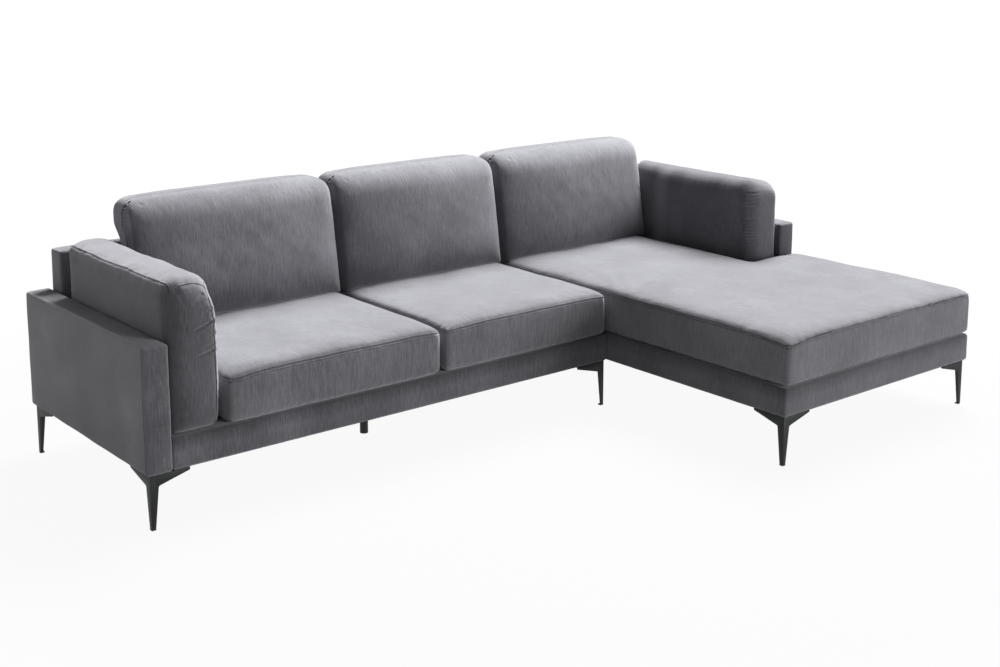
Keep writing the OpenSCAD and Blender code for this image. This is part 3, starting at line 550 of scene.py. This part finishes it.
def seat_rise(x, y, low, high, notch=None):
    """The share of a seat cushion's crown at each place: its rolled edges, and a slow swell to the middle."""
    gaps = [x - low[0], high[0] - x, y - low[1], high[1] - y]
    if notch:
        gaps.append(np.where(x < notch[0], np.where(y < notch[1], np.hypot(notch[0] - x, notch[1] - y),
                                                    notch[0] - x), notch[1] - y))
    edge, slow = (math.prod(roll(gap, width) for gap, width in zip(gaps, widths))
                  for widths in (EDGE_ROLLS, SLOW_ROLLS))
    return 0.66 * edge + 0.34 * slow


# How far a seat's top rolls down to its seam, and how far its front stands out over the base
TOP_EDGE = 0.009
BELLY = 0.004


def seat_shape(low, high, crown, notch, folds, slack):
    """Presses a seat cushion into its form: crowned top, sides drawn in, drooping corners, flat under it.

    slack is how much rounder than the others its left front corner is.
    """
    def shape(points, normals):
        x, y, z = points.T.copy()
        left, front = rounded(x - low[0], y - low[1], slack)
        x, y = low[0] + left, low[1] + front
        share = (z - low[2]) / (high[2] - low[2])
        sides = [x - low[0], high[0] - x, y - low[1], high[1] - y]
        rise = seat_rise(x, y, low, high, notch)
        corner_x = np.minimum(sides[0], sides[1])
        corner_y = np.minimum(sides[2], sides[3])
        corner = np.hypot(np.clip(corner_x, 0, None), np.clip(corner_y, 0, None))
        z = z + crown * rise * ease(share, 0.45, 1.0)
        z = z - 0.004 * np.exp(-(corner / 0.07) ** 2) * ease(share, 0.5, 1.0)
        z = z - 0.20 * slack * np.exp(-(np.hypot(sides[0], sides[2]) / 0.10) ** 2) * ease(share, 0.5, 1.0)
        z = z + 0.003 * np.exp(-(corner / 0.05) ** 2) * (1 - ease(share, 0.0, 0.5))
        # The sides draw in between the corners.
        mid_x = np.sin(np.pi * np.clip((x - low[0]) / (high[0] - low[0]), 0, 1))
        mid_y = np.sin(np.pi * np.clip((y - low[1]) / (high[1] - low[1]), 0, 1))
        belly = np.sin(np.pi * np.clip(share, 0, 1))
        # The fronts stand out over the base, and so do the chaise's free sides.
        free = BELLY * belly * (1 - ease(y, -0.12, 0.0))
        x = x + mid_y * free * (np.exp(-sides[1] / 0.03) - np.exp(-sides[0] / 0.03))
        y = y - BELLY * belly * mid_x * np.exp(-sides[2] / 0.03)
        x = x + 0.002 * mid_y * (np.exp(-sides[0] / 0.03) - np.exp(-sides[1] / 0.03)) * (1 - 1.4 * belly)
        y = y + 0.002 * mid_x * (np.exp(-sides[2] / 0.03) - np.exp(-sides[3] / 0.03)) * (1 - 1.4 * belly)
        out = np.stack([x, y, z], axis=1)
        top = ease(share, 0.6, 1.0) * rise
        out[:, 2] += 0.0022 * ripples(out * (1, 1, 0), 0.21, 7) * top + 0.0004 * ripples(out, 0.07, 8) * top
        for start, end, width, depth in folds:
            out[:, 2] += fold(out, start, end, width, depth) * ease(share, 0.6, 0.9)
        out[:, 2] = np.maximum(out[:, 2], low[2])
        return out
    return shape


def ring_seams(low, high):
    """A double-stitched seam round a seat cushion's top edge, and a plain one round its bottom edge."""
    upright = lambda c, n: abs(n.z) < 0.96
    return [
        ((0, 0, high[2] - TOP_EDGE - 0.001), (0, 0, 1), upright, True),
        ((0, 0, low[2] + 0.008), (0, 0, 1), upright, False),
    ]


# Where a cushion's front corner is pulled, its top is creased: start, end, width and depth.
MIDDLE_FOLDS = (
    ((-0.356, -0.015, 0.425), (-0.300, 0.020, 0.43), 0.009, 0.004),
    ((-0.350, 0.020, 0.425), (-0.290, 0.045, 0.43), 0.009, 0.003),
)
CHAISE_FOLDS = (
    ((0.455, -0.020, 0.43), (0.60, 0.18, 0.44), 0.024, 0.008),
    ((0.465, -0.085, 0.43), (0.70, 0.02, 0.44), 0.026, 0.007),
    ((0.450, 0.055, 0.43), (0.52, 0.24, 0.44), 0.022, 0.006),
)
# Each seat's body, crown, creases, how slack its left front corner is, and its top's painted shading. Its top is
# painted darker along its front edge and its slack left edge: painted shade where the top rolls away from the light.
SEATS = {
    "left_seat_cushion": ("left_seat", 0.0185, (), 0.048, 0.04),
    "middle_seat_cushion": ("middle_seat", 0.0185, MIDDLE_FOLDS, 0.0, 0.0),
    "chaise_cushion": ("chaise_seat", 0.0215, CHAISE_FOLDS, 0.034, -0.08),
}
cushions = []
crowns = {}
cad = {name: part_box(name) for name in nodes}
seat_seam_z = cad["left_seat_cushion"][0].z + 0.144
# The chaise cushion makes room for the right arm cushion.
arm_side, arm_front = cad["right_arm_cushion"][0].x - 0.011, cad["right_arm_cover"][0].y - 0.008

for name, (body, crown, folds, slack, top_painted_shading) in SEATS.items():
    low, high = (list(v) for v in cad[name])
    low = [low[0] + INSET, low[1] + INSET, low[2] + FOOT_GAP]
    high = [high[0] - INSET, high[1] - INSET, seat_seam_z + TOP_EDGE]
    notch = (arm_side - INSET, arm_front - INSET) if name == "chaise_cushion" else None
    piece = sewn_box(name.replace("cushion", "cover_sewn"), low, high, 2, [(everywhere, 0.015)],
                     (0.011, 0.0085), notch)
    crowns[name] = (low, high, crown)
    shape = seat_shape(low, high, crown, notch, folds, slack)
    # Painted light on the seat's sides below the seam, and painted shade along the front and slack left edges of its
    # top.
    painted_shading_of = lambda points, low=low, slack=slack, top_painted_shading=top_painted_shading: np.where(
        points[:, 2] < seat_seam_z, 0.18, top_painted_shading - 0.62 * np.exp(-np.clip(points[:, 1] - low[1], 0, 1) / 0.038)
        - 9.0 * slack * np.exp(-np.clip(points[:, 0] - low[0], 0, 1) / 0.05))
    cushions.append((piece, name, body, ring_seams(low, high), (), shape, painted_shading_of))


def gathers(corner, count, seed):
    """Short folds fanning out from the seam at a back cushion's top corner, over its front edge."""
    chance = np.random.default_rng(seed)
    x, y, z = corner
    folds = []
    for k in range(count):
        share = k / (count - 1)
        start = (x, y - 0.012 + 0.01 * share, z - 0.004 - 0.085 * share)
        reach = chance.uniform(0.045, 0.075) * (1 - 0.45 * share)
        end = (x + reach, y - 0.085 + 0.03 * share, z - 0.010 - 0.1 * share - chance.uniform(0, 0.012))
        folds.append((start, end, 0.0070, chance.uniform(0.0055, 0.0095) * (1 - 0.5 * share)))
    return folds


# A back cushion's depth, how high its front rolls over its top, how far the seam round its ends lies behind its
# front, how much it leans, sags over the low back and swells to the front, and its foot's drop into the seat
BACK_DEPTH = 0.182
ROLL = 0.085
SEAM_BACK = 0.084
LEAN = 0.161
SAG = 0.050
SWELL = 0.042
SINK = 0.005


def back_shape(low, high, seat, seed):
    """Leans a back cushion on the low back, sags it over its top edge and sets its foot on the seat's crown."""
    back_top = cad["sofa_back_cover"][1].z
    seat_low, seat_high, crown = crowns[seat]
    folds = gathers((low[0] + 0.004, low[1] + SEAM_BACK, high[2] - 0.004), 7, seed)

    def shape(points, normals):
        x, y, z = points.T.copy()
        share = np.clip((y - low[1]) / (high[1] - low[1]), -0.2, 1.2)
        up = np.clip((z - low[2]) / (high[2] - low[2]), 0, 1)
        ends = np.minimum(x - low[0], high[0] - x)
        span = (high[0] - low[0]) / 2
        full = (1 - np.abs(np.clip(1 - ends / span, 0, 1)) ** 2.6) * np.sin(np.pi * up ** 0.8) ** 0.75
        # The front rolls over the top, and the sides stay square.
        over = np.clip((z - (high[2] - ROLL)) / ROLL, 0, 1)
        turn = ROLL * (1 - np.sqrt(np.clip(1 - over ** 2, 0, 1))) * 0.62
        lean = LEAN * (z - low[2])
        sag = SAG * ease(z, back_top + 0.004, back_top + 0.075)
        swell = SWELL * full - 0.004
        y = (y + lean * (1 - share) + sag * share - swell * (1 - ease(share, 0.1, 0.6)) +
             turn * (1 - ease(share, 0.0, 0.5)) - 0.5 * turn * ease(share, 0.5, 1.0))
        # The ends pull in between the corners, the top corners droop, and the foot follows the seat's crown.
        x = x + 0.002 * np.sin(np.pi * up) * (np.exp(-(x - low[0]) / 0.03) - np.exp(-(high[0] - x) / 0.03))
        z = z - 0.008 * np.exp(-(np.clip(ends, 0, None) / 0.10) ** 2) * ease(up, 0.6, 1.0)
        rise = seat_rise(x, np.full(len(x), (seat_low[1] + seat_high[1]) / 2), seat_low, seat_high)
        z = z - (crown * (1 - rise) + SINK) * (1 - ease(up, 0.0, 0.35))
        out = np.stack([x, y, z], axis=1)
        front = 1 - ease(share, 0.2, 0.7)
        out[:, 1] += (0.0022 * ripples(out * (1, 0, 1), 0.30, seed) +
                      0.0005 * ripples(out * (1, 0, 1), 0.08, seed + 1)) * front * full
        for start, end, width, depth in folds:
            out += normals * fold(points, start, end, width, depth)[:, None]
        # It lies flat against the low back.
        behind = (out[:, 2] < back_top + 0.004) & (out[:, 1] > back_rear_y)
        out[:, 1] = np.where(behind, back_rear_y, out[:, 1])
        return out
    return shape


# Each back cushion's body, its seat, its seed, and how far its right side presses into the arm cushion.
BACKS = {
    "left_back_cushion": ("left_back", "left_seat_cushion", 11, 0.0),
    "middle_back_cushion": ("middle_back", "middle_seat_cushion", 12, 0.0),
    "right_back_cushion": ("right_back", "chaise_cushion", 13, 0.009),
}
back_rear_y = cad["sofa_back_cover"][0].y - REST_GAP
for name, (body, seat, seed, press) in BACKS.items():
    low, high = (list(v) for v in cad[name])
    high[1] = back_rear_y
    low[1] = back_rear_y - BACK_DEPTH
    low = [low[0] + INSET, low[1] + INSET, low[2] + 0.003]
    high = [high[0] - INSET + press, high[1] - 0.003, high[2] - INSET]
    top = lambda p, z=high[2]: p[0].z > z - HAIR
    foot = lambda p, z=low[2]: p[0].z < z + HAIR
    piece = sewn_box(name.replace("cushion", "cover_sewn"), low, high, 1, [(top, 0.046), (foot, 0.012)],
                     (0.014, 0.020))
    seam_y = low[1] + SEAM_BACK
    seams = [((0, seam_y, 0), (0, 1, 0), lambda c, n: abs(n.y) < 0.9, False)]
    fine = [((low[0] - 0.02, low[1] - 0.02, high[2] - 0.15), (low[0] + 0.09, seam_y + 0.02, high[2] + 0.02))]
    # The cushion is painted darker at its foot where it stands in the seat's shade, lighter towards its top and its
    # right, and darker round its left front edge: painted shade and painted light for light from above and the right.
    painted_shading_of = lambda points, low=low, high=high, seam_y=seam_y: (
        -0.62 * (1 - ease(points[:, 2], low[2], low[2] + 0.15)) + 0.16 * ease(points[:, 2], low[2] + 0.25, high[2])
        + 0.14 * ease(points[:, 0], low[0], high[0]) - 0.07
        - 0.55 * np.exp(-np.clip(points[:, 0] - low[0], 0, 1) / 0.028) * (points[:, 1] < seam_y))
    cushions.append((piece, name, body, seams, fine, back_shape(low, high, seat, seed), painted_shading_of))


def arm_shape(low, high, side, seed, slack, fall, rise, ear, press, folds, wraps):
    """Stands an arm cushion against its arm: flat outside, domed over its top and full on the inside.

    side is 1 where the seat is on its right, and -1 where it is on its left. slack is the radius of its upright
    front edge at the arm, fall how far and how wide its top falls towards the arm, and rise how much fuller than
    its solid the top is. ear is how far its front narrows towards the top, and press how far the back cushion
    presses into its rear.
    """
    width = high[0] - low[0]

    def shape(points, normals):
        x, y, z = points.T.copy()
        from_arm = x - low[0] if side > 0 else high[0] - x
        from_arm, from_front = rounded(from_arm, y - low[1], slack)
        x, y = (low[0] + from_arm if side > 0 else high[0] - from_arm), low[1] + from_front
        # share is 0 at the arm and 1 at the seat
        share = np.clip(from_arm / width, 0, 1)
        up = np.clip((z - low[2]) / (high[2] - low[2]), 0, 1)
        length = np.clip((y - low[1]) / (high[1] - low[1]), 0, 1)
        front = np.exp(-np.clip(y - low[1], 0, None) / 0.05)
        behind = ease(y, 0.44, 0.56)
        over = np.clip((share - 0.5) / 0.5, 0, 1)
        dome = fall[0] * (1 - ease(share, 0, fall[1])) - rise + 2 * ear * (1 - np.sqrt(1 - over ** 2 * 0.98))
        z = z - dome * ease(up, 0.72, 1.0)
        # The front narrows towards its top and leans back, and the foot is drawn in.
        x = x - side * ear * share * front * ease(up, 0.66, 1.0)
        y = y + 0.022 * front * ease(up, 0.80, 1.0) * ease(share, 0.2, 0.9)
        x = x - side * 0.008 * ease(share, 0.3, 1.0) * (1 - ease(up, 0.0, 0.12))
        x = x + side * 0.007 * ease(share, 0.5, 1.0) * np.sin(np.pi * length) * np.sin(np.pi * up) * (1 - behind)
        x = x - side * press * ease(share, 0.3, 1.0) * behind
        x = x + side * 0.003 * (1 - share) * front
        out = np.stack([x, y, z], axis=1)
        out[:, 0] += 0.0015 * ripples(out * (0, 1, 1), 0.15, seed) * ease(share, 0.6, 1.0)
        out[:, 2] += 0.0012 * ripples(out * (0, 1, 0), 0.12, seed + 1) * ease(up, 0.8, 1.0)
        for start, end, fold_width, depth in folds:
            out += normals * fold(points, start, end, fold_width, depth)[:, None]
        for place, height, reach, fold_width, depth in wraps:
            out += normals * gather(out, place, height, reach, fold_width, depth)[:, None]
        out[:, 2] = np.maximum(out[:, 2], low[2])
        return out
    return shape


# The folds in the arm cushions' fronts, as start, end, width and depth. The left one is pulled at its
# closing seam.
LEFT_ARM_FOLDS = [
    ((-1.192, -0.004, 0.602), (-1.268, -0.004, 0.580), 0.0060, 0.0130),
    ((-1.192, -0.004, 0.512), (-1.262, -0.004, 0.500), 0.0060, 0.0090),
    ((-1.192, -0.004, 0.530), (-1.240, -0.004, 0.523), 0.0060, 0.0065),
    ((-1.192, -0.004, 0.562), (-1.235, -0.004, 0.546), 0.007, 0.0055),
    ((-1.192, -0.004, 0.642), (-1.240, -0.004, 0.620), 0.008, 0.0065),
    ((-1.320, 0.000, 0.712), (-1.285, -0.004, 0.650), 0.012, 0.0040),
    ((-1.225, -0.004, 0.690), (-1.260, -0.004, 0.662), 0.009, 0.0035),
]
# The right one is gathered round its inner front edge, as place, height, reach, width and depth.
RIGHT_ARM_WRAPS = [
    ((1.201 + shift, 0.017), height, 0.026, 0.0046, depth) for height, shift, depth in (
        (0.700, 0.006, 0.0030), (0.688, 0.004, 0.0040), (0.675, 0.004, 0.0045), (0.661, 0.002, 0.0040),
        (0.646, 0.000, 0.0030), (0.621, -0.002, 0.0022), (0.596, 0.002, 0.0026),
        (0.553, 0.000, 0.0026), (0.540, -0.004, 0.0042), (0.527, -0.006, 0.0038), (0.514, -0.010, 0.0046),
        (0.501, -0.004, 0.0040), (0.488, 0.000, 0.0028),
    )
]
# Each arm cushion's body, the side its seat is on, its cover's radii (the front edge over the top, the other
# edges across it, and those round its left and right sides), its seed, slack, fall, rise, ear, press, folds
# and gathers, and the painted shading of its left side, of its top and round its left front edge. The sides
# are painted lighter towards the right: painted light from the right.
ARMS = {
    "left_arm_cushion": (
        "left_arm_pad", 1, (0.036, 0.018, 0.016, 0.016), 21, 0.046, (0.013, 0.35), 0.0, 0.026, 0.0,
        LEFT_ARM_FOLDS, (), -0.24, 0.34, -0.50),
    "right_arm_cushion": (
        "right_arm_pad", -1, (0.066, 0.046, 0.048, 0.022), 22, 0.0, (0.019, 0.75), 0.009, 0.002, 0.013,
        (), RIGHT_ARM_WRAPS, -0.56, -0.50, 0.0),
}
for name, (body, side, radii, seed, *form, painted_shading, top_painted_shading, edge_painted_shading) in ARMS.items():
    low, high = (list(v) for v in cad[name])
    low = [low[0] + INSET, low[1] + INSET, low[2] + FOOT_GAP]
    high = [high[0] - INSET, high[1] - 0.003, high[2] - 0.003]
    front_top = lambda p, lo=low, hi=high: p[0].y < lo[1] + HAIR and p[0].z > hi[2] - HAIR
    others = lambda p, lo=low, hi=high: (
        not (p[0].y < lo[1] + 0.08 and p[0].z > hi[2] - 0.08) and
        min(abs(p[0].y - lo[1]), abs(p[0].y - hi[1])) < HAIR and
        min(abs(p[0].z - lo[2]), abs(p[0].z - hi[2])) < HAIR)
    piece = sewn_box(name.replace("cushion", "cover_sewn"), low, high, 0,
                     [(front_top, radii[0]), (others, radii[1])], radii[2:])
    seams = []
    if side > 0:
        seams = [
            ((high[0] - 0.015, 0, 0), (1, 0, 0), lambda c, n: abs(n.x) < 0.9, False),
            ((low[0] + 0.010, 0, 0), (1, 0, 0),
             lambda c, n, lo=low, hi=high: abs(n.x) < 0.95 and c.z > hi[2] - 0.03 and c.y > lo[1] + 0.01, False),
            ((0, low[1] + 0.004, high[2] - 0.024), (0, 0.3, 1),
             lambda c, n, lo=low, hi=high: c.y < lo[1] + 0.05 and c.z > hi[2] - 0.06 and abs(n.x) < 0.8, False),
        ]
    fine = [((low[0] - 0.02, low[1] - 0.02, 0.46), (high[0] + 0.02, low[1] + 0.07, high[2] + 0.02))]
    # Painted shading: lighter towards the right, darker round the left front edge, and the top band painted to its
    # own light or shade.
    painted_shading_of = lambda points, painted_shading=painted_shading, top_painted_shading=top_painted_shading, edge_painted_shading=edge_painted_shading, low=low, high=high: (
        painted_shading + 0.30 * ease(points[:, 0], low[0], high[0])
        + edge_painted_shading * np.exp(-np.hypot(points[:, 0] - low[0], points[:, 1] - low[1]) / 0.05)
        + (top_painted_shading - painted_shading - 0.15) * ease(points[:, 2], high[2] - 0.045, high[2] - 0.012))
    shape = arm_shape(low, high, side, seed, *form)
    cushions.append((piece, name, body, seams, fine, shape, painted_shading_of))

blow_up([c[0] for c in cushions])
for piece, name, body, seams, fine, shape, painted_shading_of in cushions:
    finish_modifier(piece, "SUBSURF", levels=1, render_levels=1)
    sew(piece, seams, fine)
    # Each cushion gets its painted shade and light before it is pressed into shape.
    paint_shading(piece, painted_shading_of(get_points(piece)))
    set_points(piece, shape(get_points(piece), get_normals(piece)))
    smooth(piece)
    wear(piece, name, body, "chenille_cloth")


# ---------------------------------------------------------------- upholstered panels
def cut_in_rows(piece, low, high, pitch=0.05):
    """Cuts the big faces into rows, so that the cloth over them can be a little uneven."""
    for axis in range(3):
        count = int((high[axis] - low[axis]) / pitch)
        for k in range(1, count):
            cut_across(piece, axis, low[axis] + (high[axis] - low[axis]) * k / count)


# The radius of the panels' padded edges, and half the width of their seams
PANEL_EDGE = 0.0105
PANEL_SEAM = 0.0025


def panel(name, node, low, high, seams=(), wing=None, painted_shading=0.0, open_under=False):
    """A timber panel covered with stretched cloth: soft edges, and a surface that isn't quite flat.

    seams are (axis, place), wing is the inner corner of an L, and open_under goes for a base's band.
    """
    low, high = Vector(low), Vector(high)
    piece = add_box(name, low, (high.x, wing[1], high.z) if wing else high)
    if wing:
        draw_out(piece, wing, high.y)
    bpy.ops.object.mode_set(mode="EDIT")
    bpy.ops.mesh.select_all(action="DESELECT")
    bpy.context.tool_settings.mesh_select_mode = (False, True, False)
    bpy.ops.mesh.edges_select_sharp(sharpness=math.radians(50))
    bpy.ops.mesh.bevel(offset=PANEL_EDGE, offset_type="OFFSET", segments=4, profile=0.5, affect="EDGES",
                       clamp_overlap=False)
    leave_edit()
    if open_under:
        # The cloth turns in under the rails, and the dust cover lies in the shallow recess that it leaves.
        pick(piece, "polygons", lies_at(2, low.z))
        bpy.ops.mesh.inset(thickness=0.0012)
        bpy.ops.transform.translate(value=(0, 0, 0.0018))
        leave_edit()
    cut_in_rows(piece, low, high)
    for axis, value in seams:
        for shift in (-PANEL_SEAM, 0, PANEL_SEAM):
            cut_across(piece, axis, value + shift)
    points, normals = get_points(piece), get_normals(piece)
    move = np.clip(0.0008 * ripples(points, 0.16, 60 + len(name)) - 0.0002, -0.0009, 0.0006)
    for axis, value in seams:
        away = np.abs(points[:, axis] - value)
        flank = np.abs(normals[:, axis]) < 0.6
        move -= np.where((away < 0.001) & flank, 0.0026, 0)
    if open_under:
        move = np.where(normals[:, 2] < -0.5, 0, move)
    # Along the cushions the band's top is painted darker: a painted shadow of the crevice under the cushions.
    painted_crevice_shadow = -0.5 * ease(points[:, 2], high.z - 0.035, high.z - 0.004) if open_under else 0
    # The panel's painted shade or light, plus a soft random tone of the cloth.
    paint_shading(piece, painted_shading + 0.10 * ripples(points, 0.20, 90 + len(name)) + painted_crevice_shadow)
    set_points(piece, points + normals * move[:, None])
    smooth(piece, 40)
    wear(piece, node, "sofa_body", "chenille_cloth")


# The right arm's panel is painted much darker than the left's: painted shade.
for name, node, painted_shading in (("left_arm_panel", "left_arm_cover", 0.04), ("right_arm_panel", "right_arm_cover", -0.75)):
    low, high = cad[node]
    # The front strip is joined to the side by a seam just behind the front edge.
    panel(name, node, low, high, seams=[(1, low[1] + 0.012)], painted_shading=painted_shading)
for name, node in (("sofa_back_panel", "sofa_back_cover"), ("chaise_back_panel", "chaise_back_cover")):
    panel(name, node, *cad[node])
# The chaise's base and dust cover leave out the corner where the right arm stands.
inner_corner = cad["right_arm_cover"][0][:2]
# The bands are painted a little darker: painted shade.
for name, node, wing in (
    ("sofa_base_band", "sofa_base_cover", None), ("chaise_base_band", "chaise_base_cover", inner_corner),
):
    panel(name, node, *cad[node], painted_shading=-0.02, open_under=True, wing=wing)

# ---------------------------------------------------------------- legs
for name in [n for n in nodes if n.endswith("_leg") or n == "middle_foot"]:
    leg = bpy.data.objects.new(name + "_coated", nodes[name].data.copy())
    bpy.context.scene.collection.objects.link(leg)
    finish_modifier(leg, "WELD", merge_threshold=1e-5)
    finish_modifier(leg, "BEVEL", width=0.0009, segments=2, limit_method="ANGLE", angle_limit=math.radians(40))
    smooth(leg, 40)
    wear(leg, name, "sofa_body", "black_steel")

# ---------------------------------------------------------------- dust covers
def dust_sheet(name, node, wing=None):
    """A thin spun cloth stapled under a base, with small puckers along its edges."""
    low, high = cad[node]
    bottom, top = low.z + 0.0002, low.z + 0.0011
    sheet = add_box(name, (low.x, low.y, bottom), (high.x, wing[1] if wing else high.y, top))
    if wing:
        draw_out(sheet, wing, high.y)
    bevel_edges(sheet, runs_along(2), 0.006, 3)
    cut_in_rows(sheet, low, high, 0.03)
    points = get_points(sheet)
    points[:, 2] += np.clip(0.00012 * ripples(points, 0.05, 30 + len(name)), -0.0001, 0.0002)
    set_points(sheet, points)
    smooth(sheet, 40)
    wear(sheet, node, "sofa_body", "dust_cloth")
    return sheet


sheet = dust_sheet("sofa_dust_sheet", "sofa_dust_cover")
low, high = cad["chaise_dust_cover"]
# It stays this far inside the base's edges.
DUST_INSET = 0.0063
corner = [v - DUST_INSET for v in inner_corner]
sheet = dust_sheet("chaise_dust_sheet", "chaise_dust_cover", corner)

# ---------------------------------------------------------------- floor, lamps and world
def add_seen(tree):
    """A value that is 1 for what the camera sees, also in or through a shiny piece, and 0 for the lighting."""
    path = add_node(tree, "ShaderNodeLightPath").outputs
    seen = path["Is Camera Ray"]
    for kind in ("Is Glossy Ray", "Is Transmission Ray"):
        seen = add_node(tree, "ShaderNodeMath", {0: seen, 1: path[kind]}, operation="MAXIMUM").outputs[0]
    return seen


bpy.ops.object.select_all(action="DESELECT")
bpy.ops.mesh.primitive_plane_add(size=60, location=(0, 0, 0))
floor = bpy.context.object
floor.name = "studio_floor"
finish, tree, shader = new_finish("white studio floor", Roughness=0.9, Base_Color=colour("#8c8c8c"))
# Near the sofa the floor keeps a faint shadow, and further out it is the background's white.
from_middle = add_node(tree, "ShaderNodeVectorMath", {0: add_node(tree, "ShaderNodeTexCoord").outputs["Object"]},
                       operation="LENGTH")
reach = add_node(
    tree, "ShaderNodeMapRange",
    {"Value": from_middle.outputs["Value"], "From Min": 1.8, "From Max": 4.5, "To Min": 0.9, "To Max": 1.0},
)
share = add_node(tree, "ShaderNodeMath", {0: add_seen(tree), 1: reach.outputs[0]}, operation="MULTIPLY")
white = add_node(tree, "ShaderNodeEmission", {"Color": (1, 1, 1, 1), "Strength": 1.04})
mixed = add_node(tree, "ShaderNodeMixShader", {0: share.outputs[0], 1: shader.outputs[0], 2: white.outputs[0]})
tree.links.new(mixed.outputs[0], tree.nodes["Material Output"].inputs["Surface"])
floor.data.materials.append(finish)

world = bpy.data.worlds.new("studio")
bpy.context.scene.world = world
world.use_nodes = True
tree = world.node_tree
tree.nodes.clear()
soft = add_node(tree, "ShaderNodeBackground", {"Color": (1, 1, 1, 1), "Strength": 0.08})
plain = add_node(tree, "ShaderNodeBackground", {"Color": (1, 1, 1, 1), "Strength": 1.0})
mixed = add_node(tree, "ShaderNodeMixShader", {0: add_seen(tree), 1: soft.outputs[0], 2: plain.outputs[0]})
add_node(tree, "ShaderNodeOutputWorld", {0: mixed.outputs[0]})

# Each lamp's name, place, aim, size in metres and power in watts
for name, place, aim, size, power in (
    ("overhead_softbox", (4.6, 1.9, 7.3), (0.3, 0.0, 0), 4.6, 1480),
    ("front_softbox", (6.0, -12.0, 2.6), (0, 0, 0.3), 4.6, 560),
    ("left_softbox", (-4.2, 0.9, 0.5), (-1.4, 0.4, 0.4), 1.0, 14),
):
    bpy.ops.object.select_all(action="DESELECT")
    bpy.ops.object.light_add(type="AREA", location=place)
    lamp = bpy.context.object
    lamp.name = name
    lamp.data.shape = "SQUARE"
    lamp.data.size = size
    lamp.data.energy = power
    lamp.rotation_euler = (Vector(aim) - Vector(place)).to_track_quat("-Z", "Y").to_euler()

bpy.context.scene.view_settings.view_transform = "Standard"
